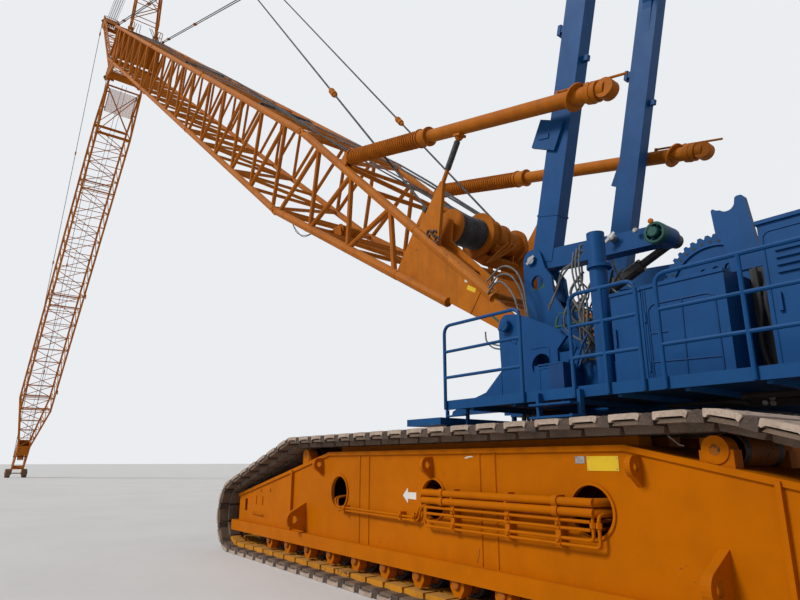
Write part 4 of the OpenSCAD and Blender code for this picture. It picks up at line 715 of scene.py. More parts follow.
def trimFrame(side):
    shape = Shape() if side > 0 else Shape(mirrored)
    y = frameTrim["plateY"]
    r = frameTrim["pipe"]
    front, middle, rear = frameTrim["holes"]
    shape.use("crawlerOrange")
    # pair of thin pipes from the front hole to the middle one
    for k, z in enumerate((0.462, 0.444)):
        out = y + 0.03
        x1, x2 = front + 0.01 - 0.03 * k, middle + 0.12 - 0.02 * k
        shape.tube(bent([(x1, y - 0.1, 0.53), (x1, out, 0.52), (x1 - 0.02, out, z), (x2, out, z - 0.012),
                         (x2 - 0.03, out, 0.515), (middle + 0.02, y - 0.08, 0.52)], 0.03), r, 8)
    for x in frameTrim["clips"]:
        shape.box((x - 0.012, y - 0.001, 0.428), (x + 0.012, y + 0.042, 0.474))
        shape.bolt((x, y + 0.042, 0.451), alongY, 0.008, 0.006, (0.008, 0.005))
    # ends of the long pipes, bent into the middle and rear holes
    for k, z in enumerate(frameTrim["thinPipes"]):
        out = y + 0.036
        near = middle - 0.03
        corner = near + 0.05 + 0.012 * (k % 2)
        shape.tube(bent([(near - 0.012, out, z), (corner, out, z), (corner, out, 0.53 + 0.004 * k),
                         (near + 0.03, y - 0.09, 0.535)], 0.022), 0.0075, 8)
        far = rear + 0.03
        if k < 2:
            shape.tube([(far + 0.02, out, z), (far - 0.035, out, z), (far - 0.05, y - 0.09, z)], 0.0075, 8)
        else:
            bend = far - 0.055 - 0.03 * (k - 2)
            shape.tube(bent([(far + 0.012, out, z), (bend, out, z), (bend, out, 0.54),
                             (far - 0.1, y - 0.09, 0.552)], 0.022), 0.0075, 8)
            shape.band((bend, out, 0.49), alongZ, 0, 0.022, 0.008, 0.013, 6)
    for z in (0.588, 0.548):
        for x in (middle - 0.03, rear + 0.03):
            into = 0.06 if x > -0.5 else -0.06
            shape.tube(bent([(x, y + 0.042, z), (x + into, y + 0.042, z), (x + into * 1.7, y - 0.09, z)],
                            0.05), 0.0185, 12)
        for x in (-0.09, -0.86):
            shape.band((x, y + 0.042, z), alongX, -0.016, 0.016, 0.018, 0.024, 16)
    # clamps over the thin pipes
    for x in frameTrim["clamps"]:
        for z in (0.568, 0.495, 0.4275):
            shape.bolt((x, y + 0.041, z), alongY, 0.009, 0.008, (0.0105, 0.006))
        for z in frameTrim["thinPipes"]:
            shape.band((x, y + 0.036, z), alongX, -0.012, 0.012, 0.007, 0.011, 10)
    # plugs, screws and the tensioner's slot at both ends
    for x in (2.33, 2.46):
        plug = [(x - 0.018, 0.405), (x + 0.018, 0.405), (x + 0.018, 0.462), (x + 0.008, 0.472),
                (x - 0.018, 0.472)]
        shape.prism(plug, y - 0.001, y + 0.006)
    for x, z in frameTrim["screws"]:
        shape.bolt((x, y - 0.001, z), alongY, 0.014, 0.005, (0.008, 0.01), 10, 0.004)
    shape.tube([(2.5, y + 0.014, 0.33), (2.28, y + 0.014, 0.325)], 0.005, 6)
    # weld beads beside the seam strips and the end posts
    for x in frameTrim["seams"]:
        for d in (-0.009, 0.009):
            shape.tube([(x + d, y + 0.001, 0.27), (x + d, y + 0.001, 0.79)], 0.0025, 5)
    shape.use("signWhite")
    x, z, length, height = frameTrim["arrow"]
    x *= side
    arrow = [(x + length * a, z + height / 2 * b) for a, b in frameTrim["arrowShape"]]
    shape.prism(arrow, y + 0.0004, y + 0.0012)
    shape.use("signYellow")
    x, z, length, height = frameTrim["plate"]
    shape.plate(frameTrim["plate"], y + 0.0004, y + 0.0022)
    shape.use("brightSteel")
    shape.box((x + length / 2 + 0.012, y + 0.0004, z), (x + length / 2 + 0.06, y + 0.0022, z + height / 2))
    for cx in (x - length / 2 + 0.008, x + length / 2 - 0.008):
        for cz in (z - height / 2 + 0.008, z + height / 2 - 0.008):
            shape.bolt((cx, y + 0.002, cz), alongY, 0.003, 0.0015, (0.002, 0.0015), 8)
    # near-black sheets set back in the tensioner's slots: painted shade in the slots' depth
    shape.use("darkRubberAndShade")
    for x in (2.665, -2.665):
        shape.box((x - 0.026, y - 0.05, 0.34), (x + 0.026, y - 0.044, 0.44))
    # a thin dark line down the plate, and a pale scuff above it
    thinDarkLine = [(-0.343, 0.397), (-0.334, 0.37), (-0.339, 0.352), (-0.322, 0.33), (-0.318, 0.297),
             (-0.303, 0.269)]
    shape.tube([(x, y + 0.0006, z) for x, z in thinDarkLine], 0.0011, 4)
    shape.use("signWhite")
    for x, z, wide in ((-0.269, 0.776, 0.028), (-0.245, 0.771, 0.014)):
        scuff = [(x - wide, z - 0.002), (x + wide * 0.7, z - 0.004), (x + wide, z + 0.002),
                 (x - wide * 0.5, z + 0.004)]
        shape.prism(scuff, y + 0.0003, y + 0.0008)
    # brackets and a cable under the top run
    shape.use("crawlerOrange")
    for x in (-0.93, -1.13):
        shape.box((x - 0.02, y - 0.25, 0.835), (x + 0.02, y - 0.15, 0.862))
        shape.box((x - 0.02, y - 0.16, 0.79), (x + 0.02, y - 0.15, 0.84))
    shape.use("signWhite")
    shape.tube(flowing([(-1.298, y - 0.15, 0.852), (-1.32, y - 0.14, 0.84), (-1.345, y - 0.14, 0.818),
                        (-1.361, y - 0.15, 0.811)], 5), 0.003, 6)
    return shape


for side, label in ((1, "left"), (-1, "right")):
    trimFrame(side).piece(label + "FrameTrim", "undercarriage")
print("crawler frames trimmed")

# Spring sleeves of the backstops: a coil round each tube
sleeve = {
    "start": 0.12,
    "end": 1.46,
    "radius": 0.0865,
    "wire": 0.0105,
    "turns": 34,
    "rings": (0.105, 1.478, 1.615),
}


def coilSleeve(side):
    shape = Shape(backstopPlace(side), "latticeOrange")
    count = sleeve["turns"]
    steps = 14
    path = []
    for i in range(count * steps + 1):
        a = 2 * math.pi * i / steps
        x = sleeve["start"] + (sleeve["end"] - sleeve["start"]) * i / (count * steps)
        path.append((x, sleeve["radius"] * math.cos(a), sleeve["radius"] * math.sin(a)))
    shape.tube(path, sleeve["wire"], 6)
    for x in sleeve["rings"]:
        shape.lathe((x, 0, 0), alongX, [(-0.012, 0.08), (-0.012, 0.1), (-0.008, 0.104), (0.008, 0.104),
                                        (0.012, 0.1), (0.012, 0.08)], 28)
    # collar, slanted disc and thin rod at the rear end
    shape.lathe((3.62, 0, 0), alongX, [(0, 0.06), (0, 0.086), (0.05, 0.09), (0.06, 0.07)], 24)
    shape.band((3.5, 0, 0), (1, 0.0, 0.45), -0.008, 0.008, 0.06, 0.118, 28)
    shape.tube([(3.3, 0.0, -0.09), (3.95, 0.0, -0.09)], 0.011, 8)
    for x in (3.3, 3.6):
        shape.box((x - 0.012, -0.014, -0.1), (x + 0.012, 0.014, -0.06))
    return shape


for side, label in ((1, "left"), (-1, "right")):
    coilSleeve(side).piece(label + "SpringSleeve", "boom")
print("spring sleeves coiled")

# Ribs, doors and slats on the upperworks' panels
panels = {"y": 1.252, "rib": 0.006, "doors": 4, "doorPitch": 0.33}


def panelShape():
    shape = Shape(upper)
    y, rib = panels["y"], panels["rib"]
    for _ in shape.bothSides():
        # ribs in the darker blue: painted shade along the pressed ridges
        shape.use("seamBlue")
        shape.tube(roundedFrame((-1.015, 1.205), (-0.61, 1.675), 0.05, y - 0.001), rib, 6, ring=True)
        shape.tube([(-0.812, y - 0.001, 1.205), (-0.825, y - 0.001, 1.675)], rib * 0.9, 6)
        shape.tube([(-1.015, y - 0.001, 1.31), (-0.61, y - 0.001, 1.325)], rib * 0.9, 6)
        shape.tube([(-0.72, y - 0.001, 1.495), (-0.61, y - 0.001, 1.498)], rib * 0.9, 6)
        shape.use("machineBlue")
        shape.box((-1.078, y - 0.03, 1.78), (-0.572, y + 0.006, 1.803))
        shape.box((-0.572, y - 0.03, 1.775), (-0.358, y + 0.006, 1.798))
        for x in (-0.6, -0.585):
            shape.tube([(x, y, 1.16), (x, y, 1.79)], 0.003, 5)
        for z in (1.3, 1.6):
            shape.lathe((-0.59, y + 0.002, z), alongZ, [(-0.03, 0.008), (0.03, 0.008)], 10)
        shape.box((-0.39, y - 0.001, 1.45), (-0.375, y + 0.014, 1.56))
        # engine house: doors, ribs and roof edge
        for k in range(panels["doors"]):
            a = -2.6 + k * panels["doorPitch"]
            shape.tube(roundedFrame((a + 0.02, 1.2), (a + 0.31, 1.94), 0.04, y - 0.001), rib * 0.8, 6,
                       ring=True)
            shape.box((a + 0.26, y - 0.001, 1.5), (a + 0.28, y + 0.016, 1.6))
            for z in range(5):
                shape.box((a + 0.07, y - 0.001, 1.7 + z * 0.04), (a + 0.26, y + 0.012, 1.712 + z * 0.04))
        shape.box((-2.64, y - 0.04, 1.985), (-1.27, y + 0.012, 2.008))
    # cover by the round hole, with a rounded lid
    shape.box((0.155, 0.87, 1.43), (0.37, 1.108, 1.442))
    shape.tube(roundedFrame((0.17, 1.17), (0.36, 1.41), 0.02, 1.1005), 0.004, 6, ring=True)
    return shape


panelShape().piece("panels", "superstructure", bevel=0.002)
print("panels ribbed")


# Hoses that sag between the machinery behind the post
hoses = {
    "seed": 7,
    "bundle": 16,
    "radius": (0.006, 0.012),
    "finishes": ("darkRubberAndShade", "darkRubberAndShade", "darkRubberAndShade", "machineBlue", "greyHose"),
}


def hoseShape():
    shape = Shape(upper)
    pick = random.Random(hoses["seed"])
    for _ in range(hoses["bundle"]):
        shape.use(pick.choice(hoses["finishes"]))
        r = pick.uniform(*hoses["radius"])
        x = pick.uniform(-0.3, 0.2)
        top = pick.uniform(1.85, 2.2)
        points = [(x + pick.uniform(-0.04, 0.04), pick.uniform(0.88, 0.96), top),
                  (x + pick.uniform(-0.12, 0.12), pick.uniform(0.9, 1.0), top - 0.14),
                  (x + pick.uniform(-0.2, 0.2), pick.uniform(0.92, 1.02), top - 0.32),
                  (x + pick.uniform(-0.16, 0.2), pick.uniform(0.9, 1.0), top - 0.48),
                  (x + pick.uniform(-0.1, 0.1), 0.87, 1.55 + pick.uniform(-0.1, 0.05))]
        shape.tube(flowing(points, 5), r, 7)
    # upright grey hoses, and loops by the A-frame's pin
    shape.use("greyHose")
    for k in range(3):
        x = 0.03 * k
        shape.tube(flowing([(x, 1.0, 2.3 - 0.02 * k), (x + 0.01, 1.02, 2.1), (x - 0.02, 1.0, 1.85),
                            (x + 0.01, 0.98, 1.65), (x + 0.02, 0.94, 1.5)], 6), 0.007, 7)
    for k in range(2):
        shape.tube(flowing([(0.42, 0.87, 1.9 + 0.03 * k), (0.3, 0.9, 2.05), (0.22, 0.94, 2.12 + 0.04 * k),
                            (0.1, 0.96, 2.2), (-0.02, 1.0, 2.25 + 0.05 * k)], 6), 0.008, 7)
    shape.use("greenGrey")
    # green pipe along the hoses
    shape.tube(bent([(0.33, 0.88, 1.83), (0.33, 0.92, 1.74), (0.1, 0.95, 1.74), (-0.15, 0.97, 1.74)], 0.03),
               0.011, 8)
    return shape


hoseShape().piece("hoses", "superstructure")
print("hoses hung")

# Winches: a ring of holes drawn as flat dark discs of painted shade and ribs on the flanges, rope on both
# drums
winch = {
    "centre": (-0.775, 1.85),
    "flangeY": 0.66,
    "holes": 36,
    "holeCircle": 0.325,
    "drumRadius": 0.21,
    "halfLength": 0.6,
    "rearDrum": (-1.7, 1.94, 0.42),            # x, z, half length
    "ropeRadius": 0.011,
}


def winchShape():
    shape = Shape(upper)
    cx, cz = winch["centre"]
    for side in (-1, 1):
        y = side * winch["flangeY"]
        # flat dark discs in place of the holes: painted shade inside them
        shape.use("darkRubberAndShade")
        for dx, dz in circle(winch["holes"], winch["holeCircle"]):
            shape.lathe((cx + dx, y, cz + dz), (0, side, 0), [(0.0, 0.011), (0.0015, 0.011)], 8)
        shape.use("machineBlue")
        shape.lathe((cx, y, cz), (0, side, 0),
                    [(0, 0.29), (0, 0.3), (0.012, 0.3), (0.014, 0.294), (0.012, 0.29)], 48, ring=True)
        shape.bolt((cx, y, cz), (0, side, 0), 0.14, 0.03, (0.036, 0.13), 32, 0.07)
    shape.use("ropeSteel")
    for x, z, half in ((cx, cz, winch["halfLength"]), winch["rearDrum"]):
        windRope(shape, (x, 0, z), winch["drumRadius"], half, winch["ropeRadius"])
    return shape


winchShape().piece("winchDetail", "superstructure")
print("winches wound")


# Fittings: pins with keepers, green parts on the arm, seams and a gusset on the front bracket
fittings = {
    "armPin": (-0.41, 2.35),
    "pins": ((0.73, 2.44, 0.038), (-0.05, 2.42, 0.03)),            # x, z, radius
    "caps": ((-0.6, 1.86), (-0.98, 2.0), (-0.42, 2.42)),
    "gusset": [(0.94, 1.152), (1.55, 1.152), (1.54, 1.185), (1.315, 1.27), (1.125, 1.32), (0.94, 1.48)],
}


def fittingShape():
    shape = Shape(upper)
    for _ in shape.bothSides():
        # green half-moon under the A-frame's pin
        shape.use("greenGrey")
        belly = [(x, z) for x, _, z in arc((0.69, 0, 2.235), 0.064, 200, 325, 5)]
        shape.prism([(0.74, 2.17), (0.615, 2.17), (0.615, 2.21)] + belly + [(0.76, 2.21)], 0.63, 0.65)
        # green ring and hub round the rear pin of the arm
        pinX, pinZ = fittings["armPin"]
        shape.lathe((pinX, 0.63, pinZ), alongY,
                    [(0, 0.062), (0, 0.082), (0.05, 0.082), (0.056, 0.074), (0.056, 0.062)], 28, ring=True)
        shape.bolt((pinX, 0.66, pinZ), alongY, 0.04, 0.05, (0.056, 0.032), 16, 0.01)
        for dx, dz in circle(6, 0.055):
            shape.bolt((pinX + dx, 0.64, pinZ + dz), alongY, 0.009, 0.04, (0.043, 0.006))
        # pins with keeper plates
        shape.use("brightSteel")
        for x, z, r in fittings["pins"]:
            shape.bolt((x, 0.62, z), alongY, r, 0.05, (0.056, r - 0.006), 18, r - 0.02)
            shape.box((x - 0.05, 0.672, z - 0.012), (x + 0.05, 0.68, z + 0.012), 35)
        shape.bolt((-0.253, 0.655, 2.418), alongY, 0.02, 0.012, (0.016, 0.014), 8, 0.004)
        # the front bracket: the boom's pin with its keeper, welded seams and the gusset before it
        shape.use("machineBlue")
        shape.bolt((stance["boomPin"][0], 0.895, stance["boomPin"][2]), alongY, 0.05, 0.02, (0.026, 0.042),
                   24, 0.01)
        shape.box((0.8, 0.915, 1.838), (0.92, 0.923, 1.862), 35)
        shape.tube(bent([(0.62, 0.868, 1.62), (0.44, 0.868, 1.62), (0.44, 0.868, 1.48)], 0.03), 0.004, 5)
        shape.tube([(0.894, 0.868, 1.755), (0.775, 0.868, 1.684), (0.708, 0.868, 1.808)], 0.004, 5)
        shape.prism(fittings["gusset"], 0.79, 0.87)
        # caps on the winch plates
        shape.use("latticeOrange")
        for x, z in fittings["caps"]:
            shape.bolt((x, 0.73, z), alongY, 0.02, 0.012, (0.016, 0.012), 10)
        shape.box((-0.64, 0.74, 1.925), (-0.585, 0.7425, 1.957), 12)
    return shape


fittingShape().piece("pinFittings", "superstructure")
print("pins fitted")

# Ropes along the boom's top
ropes = {
    "radius": 0.009,
    "lines": (-0.42, -0.3, 0.22, 0.34, 0.46),  # y of each rope; the first two are thicker
    "startX": 1.75,
    "pitch": 2.6,                              # between the spots that set a rope's height
    "top": 0.61,
    "sag": 0.05,
}


def boomRopeShape():
    shape = Shape(boom, "ropeSteel")
    for k, y in enumerate(ropes["lines"]):
        points = [(ropes["startX"], y * 0.8, 0.56)]
        for i in range(1, 9):
            z = ropes["top"] + ropes["sag"] * math.sin(i * 1.7 + k)
            points.append((ropes["startX"] + i * ropes["pitch"], y, z))
        points.append((23.4, y * 0.6, 0.95))
        shape.tube(flowing(points, 3), ropes["radius"] * (1.5 if k < 2 else 1), 6)
    return shape


boomRopeShape().piece("boomRopes", "boom")
print("ropes laid along the boom")


# The front opening's covers, a near-black sheet of painted shade in the recess behind the cabinets, the
# ladder and the pipework below the deck
lowerTrim = {
    "lightBox": ((0.305, 0.885, 1.17), (0.49, 1.0, 1.455)),
    "darkBox": ((0.146, 0.87, 1.16), (0.272, 1.106, 1.44)),
    "recessShadeSheet": ((-1.277, 0.87, 1.155), (-1.078, 0.9, 1.86)),
    "ladderX": (0.655, 0.865),
    "ladderY": 1.56,
    "stiffeners": 9,
    "stiffenerPitch": 0.37,
}


def lowerShape():
    shape = Shape(upper)
    for _ in shape.bothSides():
        shape.use("machineBlue")
        shape.box(*lowerTrim["lightBox"])
        shape.box((0.4, 1.0, 1.2), (0.41, 1.02, 1.3))
        shape.box((-1.25, 0.9, 1.16), (-1.24, 1.0, 1.9))
        shape.use("seamBlue")
        shape.box(*lowerTrim["darkBox"])
        shape.use("greenGrey")
        shape.box((-0.04, 0.95, 1.818), (0.272, 0.956, 1.832), -3)
        # near-black sheet at the back of the recess: painted shade in its depth, with two hoses before it
        shape.use("darkRubberAndShade")
        shape.box(*lowerTrim["recessShadeSheet"])
        shape.tube(flowing([(-1.12, 0.93, 1.85), (-1.13, 0.95, 1.6), (-1.11, 0.96, 1.4),
                            (-1.14, 0.93, 1.17)], 6), 0.016, 8)
        shape.tube(flowing([(-1.19, 0.93, 1.85), (-1.17, 0.97, 1.62), (-1.2, 0.96, 1.35),
                            (-1.18, 0.93, 1.17)], 6), 0.013, 8)
        shape.use("brightSteel")
        for z in (1.37, 1.403, 1.436, 1.49):
            shape.bolt((-1.228, 1.0, z), alongY, 0.006, 0.006, (0.008, 0.003), 8)
    shape.use("machineBlue")
    y = lowerTrim["ladderY"]
    for x in lowerTrim["ladderX"]:
        shape.box((x - 0.009, y - 0.012, 0.99), (x + 0.009, y + 0.012, 1.12))
    for z in (0.995, 1.07):
        shape.box((lowerTrim["ladderX"][0], y - 0.02, z), (lowerTrim["ladderX"][1], y + 0.02, z + 0.01))
    # stiffeners and pipes under the deck
    for k in range(lowerTrim["stiffeners"]):
        x = 0.45 - k * lowerTrim["stiffenerPitch"]
        shape.box((x - 0.012, 0.87, 1.085), (x + 0.012, 1.72, 1.118))
    shape.use("darkRubberAndShade")
    shape.tube([(-0.86, 1.0, 1.085), (-1.34, 1.02, 1.07)], 0.026, 14)
    shape.tube(bent([(-0.6, 1.12, 1.075), (-1.0, 1.12, 1.075), (-1.02, 0.95, 1.06), (-1.5, 0.95, 1.06)],
                    0.06), 0.013, 8)
    shape.tube(bent([(-1.1, 1.3, 1.08), (-1.4, 1.3, 1.08), (-1.9, 1.1, 1.07)], 0.08), 0.018, 10)
    for k in range(5):
        x = 0.36 - 0.03 * k
        shape.tube(flowing([(x, 1.05, 1.1), (x - 0.02, 1.02, 1.05 - 0.006 * k),
                            (x - 0.12, 0.99, 1.04 - 0.006 * k), (x - 0.2, 0.95, 1.07)], 5), 0.008, 7)
    shape.use("brightSteel")
    for x, z in ((-0.865, 1.085), (-1.15, 1.085), (-1.11, 1.062), (-1.148, 1.058)):
        shape.bolt((x, 1.03, z), alongY, 0.015, 0.014, (0.018, 0.009), 10)
    shape.use("greyHose")
    for k in range(4):
        x = 0.53 - 0.045 * k
        shape.lathe((x, 1.1, 1.03 + 0.01 * (k % 2)), alongZ,
                    [(0, 0.013), (0.012, 0.017), (0.05, 0.017), (0.052, 0.01), (0.09, 0.01)], 12)
    return shape


lowerShape().piece("lowerFittings", "superstructure", bevel=0.0015)
print("lower fittings placed")

# Cab: seat, consoles, seals, wiper, lamps, mirrors and the cooler on its roof
cab = {
    "corner": (0.42, -1.47, 1.15),
    "width": 0.56,
    "length": 1.0,
    "height": 1.08,
    "seal": 0.009,
    "lamps": (0.1, 0.46),
    "cushion": [(0.27, 0.2), (0.6, 0.21), (0.62, 0.25), (0.58, 0.29), (0.28, 0.27)],
    "backrest": [(0.27, 0.25), (0.35, 0.27), (0.27, 0.66), (0.22, 0.7), (0.17, 0.66)],
    "headrest": [(0.22, 0.71), (0.27, 0.72), (0.25, 0.82), (0.2, 0.81)],
}


def cabShape():
    shape = Shape(upper @ Matrix.Translation(cab["corner"]))
    wide, long, high, seal = cab["width"], cab["length"], cab["height"], cab["seal"]
    # seat
    shape.use("darkRubberAndShade")
    shape.box((0.3, 0.17, 0.026), (0.5, 0.39, 0.2))
    shape.prism(cab["cushion"], 0.15, 0.41)
    shape.prism(cab["backrest"], 0.16, 0.4)
    shape.prism(cab["headrest"], 0.2, 0.36)
    # consoles with levers beside the seat, and the screen before it
    for y in (0.07, 0.43):
        shape.box((0.3, y, 0.27), (0.62, y + 0.06, 0.36))
        shape.tube([(0.57, y + 0.03, 0.35), (0.585, y + 0.03, 0.45)], 0.006, 8)
        shape.lathe((0.585, y + 0.03, 0.44), alongZ,
                    [(0, 0.008), (0.01, 0.016), (0.03, 0.016), (0.042, 0.006)], 12)
    shape.box((0.84, 0.14, 0.026), (0.9, 0.4, 0.34))
    shape.box((0.8, 0.16, 0.34), (0.83, 0.38, 0.46), -20)
    # seals round the panes
    shape.tube(roundedFrame((0.05, 0.33), (wide - 0.05, 0.6), 0.03, long, "YZ"), seal, 6, ring=True)
    shape.tube(roundedFrame((0.06, 0.45), (wide - 0.06, 0.9), 0.03, 0, "YZ"), seal, 6, ring=True)
    shape.tube(roundedFrame((0.12, 0.42), (0.78, 0.9), 0.03, wide), seal, 6, ring=True)
    shape.tube(roundedFrame((0.7, 0.33), (0.94, 0.7), 0.03, 0), seal, 6, ring=True)
    # wiper on the sloped pane, and the pane with its seal
    slope = Vector((0.81 - long, 0, high - 0.64)).normalized()
    out = Vector((-slope.z, 0, slope.x)) * -1
    base = Vector((long, 0, 0.64)) + out * 0.004
    pane = ((0.04, 0.05), (0.04, wide - 0.05), (0.44, wide - 0.05), (0.44, 0.05))     # up the slope, across
    corners = [base + slope * a + Vector((0, b, 0)) for a, b in pane]
    shape.tube(corners, seal * 0.8, 6, ring=True)
    pivot = base + slope * 0.42 + Vector((0, 0.28, 0)) + out * 0.012
    foot = base + slope * 0.14 + Vector((0, 0.4, 0)) + out * 0.012
    shape.tube([pivot, foot], 0.005, 6)
    shape.tube([foot - slope * 0.09, foot + slope * 0.13], 0.007, 6)
    shape.lathe(pivot - out * 0.012, out, [(0, 0.016), (0.02, 0.014), (0.024, 0.006)], 12)
    shape.use("cabGlass")
    shape.skin([[corner + out * 0.001 for corner in corners], [corner - out * 0.003 for corner in corners]])
    # roof: drip rails, cooler with slats, lamps; below it the handle and the mirror
    lampAxis = (1, 0, -0.15)
    shape.use("machineBlue")
    for y in (-0.012, wide - 0.004):
        shape.box((-0.01, y, high - 0.012), (0.815, y + 0.016, high + 0.012))
    shape.box((0.14, 0.1, high), (0.52, 0.46, high + 0.075))
    for k in range(9):
        shape.box((0.18 + 0.035 * k, 0.13, high + 0.072), (0.195 + 0.035 * k, 0.43, high + 0.082))
    for y in cab["lamps"]:
        shape.tube([(0.78, y, high), (0.78, y, high + 0.04)], 0.008, 8)
        shape.lathe((0.75, y, high + 0.065), lampAxis,
                    [(0, 0.02), (0.012, 0.04), (0.05, 0.045), (0.055, 0.042)], 18)
    shape.tube(bent([(-0.004, -0.01, 0.32), (-0.004, -0.05, 0.34), (-0.004, -0.05, 0.9),
                     (-0.004, -0.01, 0.92)], 0.03), 0.009, 8)
    shape.tube(bent([(0.985, 0.0, 0.72), (1.06, -0.09, 0.76), (1.06, -0.13, 0.76)], 0.03), 0.008, 8)
    shape.box((1.045, -0.19, 0.6), (1.075, -0.08, 0.82))
    shape.use("lampLens")
    for y in cab["lamps"]:
        shape.lathe((0.75, y, high + 0.065), lampAxis, [(0.05, 0.039), (0.058, 0.037), (0.062, 0.02)], 18)
    shape.box((1.038, -0.182, 0.61), (1.045, -0.088, 0.81))
    return shape


cabShape().piece("cabTrim", "superstructure", bevel=0.003)


def cabDoorShape():
    shape = Shape(upper @ Matrix.Translation(cab["corner"]))
    shape.use("darkRubberAndShade")
    shape.tube(roundedFrame((0.13, 0.42), (0.58, 0.95), 0.03, 0), cab["seal"], 6, ring=True)
    shape.box((0.565, -0.03, 0.3), (0.59, -0.004, 0.38))
    shape.tube(bent([(0.578, 0, 0.18), (0.578, -0.035, 0.18), (0.578, -0.035, 0.28), (0.578, 0, 0.28)],
                    0.015), 0.007, 8)
    shape.use("machineBlue")
    shape.tube(roundedFrame((0.12, 0.1), (0.54, 0.36), 0.03, 0), 0.006, 6, ring=True)
    for k in range(5):
        shape.box((0.2, -0.006, 0.15 + 0.022 * k), (0.44, 0.004, 0.158 + 0.022 * k))
    return shape


cabDoorShape().piece("cabDoorTrim", "door")
print("cab fitted out")

# Engine house and counterweight: exhaust, roof hatches and caps; tie bars and lifting pins on the slabs
rear = {
    "roof": 2.0,
    "hatches": ((-2.58, -2.1), (-1.82, -1.36)),        # from x to x
    "vent": (-1.95, 1.06),
    "exhaust": (-1.95, -1.19),
    "tieBars": (0.62, 1.26),
    "slabs": 8,
    "slabHeight": 0.17,
    "slabBase": 1.076,
    "stackBack": -3.49,
    "stackFront": -2.69,
    "stackSides": (0.415, 1.465),
}


def rearShape():
    shape = Shape(upper)
    roof, back = rear["roof"], rear["stackBack"]
    levels = [rear["slabBase"] + (k + 0.5) * rear["slabHeight"] for k in range(rear["slabs"])]
    for _ in shape.bothSides():
        shape.use("machineBlue")
        for a, b in rear["hatches"]:
            shape.box((a, 0.91, roof), (b, 1.21, roof + 0.016))
            for k in range(9):
                x = a + 0.05 + k * (b - a - 0.1) / 8
                shape.box((x - 0.009, 0.95, roof + 0.014), (x + 0.009, 1.17, roof + 0.026))
            x, low, high = a + 0.02, roof + 0.01, roof + 0.045
            handle = [(x, 0.99, low), (x, 0.99, high), (x, 1.13, high), (x, 1.13, low)]
            shape.tube(bent(handle, 0.012), 0.006, 8)
        shape.use("darkSteel")
        vent = [(0, 0.045), (0.06, 0.045), (0.062, 0.085), (0.1, 0.085), (0.135, 0.05), (0.145, 0.01)]
        shape.lathe((*rear["vent"], roof), alongZ, vent, 24)
        # slabs: tie bars with nuts behind, lifting pins beside
        nut = [(0, 0.02), (0.014, 0.02), (0.018, 0.014), (0.018, 0.01), (0.028, 0.01), (0.03, 0.006)]
        for y in rear["tieBars"]:
            shape.use("machineBlue")
            shape.box((back - 0.016, y - 0.035, 1.1), (back + 0.012, y + 0.035, 2.4))
            shape.use("darkSteel")
            for z in levels:
                shape.lathe((back - 0.016, y, z), (-1, 0, 0), nut, 6)
        shape.use("crawlerOrange")
        liftPin = [(0, 0.024), (0.05, 0.024), (0.052, 0.04), (0.066, 0.04), (0.07, 0.034), (0.07, 0.01)]
        for z in levels:
            for x in (back + 0.16, rear["stackFront"] - 0.16):
                shape.lathe((x, rear["stackSides"][1] - 0.012, z), alongY, liftPin, 18)
        shape.use("signWhite")
        shape.box((back - 0.002, 0.86, 1.7), (back + 0.012, 1.02, 1.78))
    shape.use("darkSteel")
    x, y = rear["exhaust"]
    pipe = [(0, 0.06), (0.03, 0.06), (0.035, 0.038), (0.4, 0.038), (0.43, 0.038), (0.44, 0.034),
            (0.44, 0.03), (0.38, 0.03)]
    shape.lathe((x, y, roof - 0.01), alongZ, pipe, 24)
    shape.use("brightSteel")
    shape.band((x, y, roof + 0.08), alongZ, 0, 0.2, 0.045, 0.053, 24, ring=True)
    for dx, dy in circle(12, 0.052):
        for z in (0.11, 0.17, 0.23):
            shape.lathe((x + dx, y + dy, roof + z), (dx, dy, 0), [(0, 0.007), (0.002, 0.006)], 6)
    return shape


rearShape().piece("rearTrim", "superstructure", bevel=0.002)
print("rear trimmed")


# Hoses that run from the upperworks to the boom's foot
boomHoses = {
    "radius": 0.0085,
    "ways": (
        ((0.7, 0.77, 1.8), (0.73, 0.77, 1.96), (0.76, 0.78, 2.14), (0.85, 0.79, 2.3), (0.99, 0.79, 2.345),
         (1.12, 0.79, 2.26)),
        ((0.72, 0.8, 1.8), (0.77, 0.8, 1.93), (0.83, 0.8, 2.12), (0.94, 0.8, 2.26), (1.03, 0.8, 2.28),
         (1.13, 0.8, 2.2)),
        ((0.68, 0.78, 1.8), (0.7, 0.79, 1.98), (0.72, 0.8, 2.18), (0.8, 0.8, 2.34), (0.95, 0.8, 2.41),
         (1.13, 0.8, 2.32)),
    ),
    "lowPair": 1.71,
}


def hangBoomHoses():
    shape = Shape(upper, "greyHose")
    for way in boomHoses["ways"]:
        shape.tube(flowing(way, 7), boomHoses["radius"], 8)
    for k in range(2):
        low = boomHoses["lowPair"] - 0.03 * k
        shape.tube(flowing([(0.9, 0.79, low - 0.02), (0.99, 0.8, low), (1.09, 0.8, low + 0.03),
                            (1.17, 0.79, 1.78), (1.2, 0.77, 1.87)], 7), 0.007, 8)
    bundle = shape.piece("boomHoses", None)
    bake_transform(bundle)


hangBoomHoses()
print("boom hoses hung")

# Boom's foot: blank labels, catwalk, winch with its gear case, strut sleeves and the small drum below
boomTrim = {
    "plateY": 0.7605,
    "label": (0.68, 0.06, 0.12, 0.042),       # along, up, length, height
    "tag": (0.79, 0.095, 0.04, 0.026),
    "winch": (1.62, 0.415, 0.15, 0.475),      # along, up, radius, half length
    "ropeRadius": 0.012,
    "smallDrum": (4.143, 0.11, -0.489),
    "slats": 38,
    "slatPitch": 0.0245,
    "walkFrom": 0.42,
    "narrowTo": 0.84,                          # the catwalk is narrow up to this x
    "ropeTo": 0.1,                             # the rope fills the drum's left part, down to this y
    "caseRadius": 0.19,
}


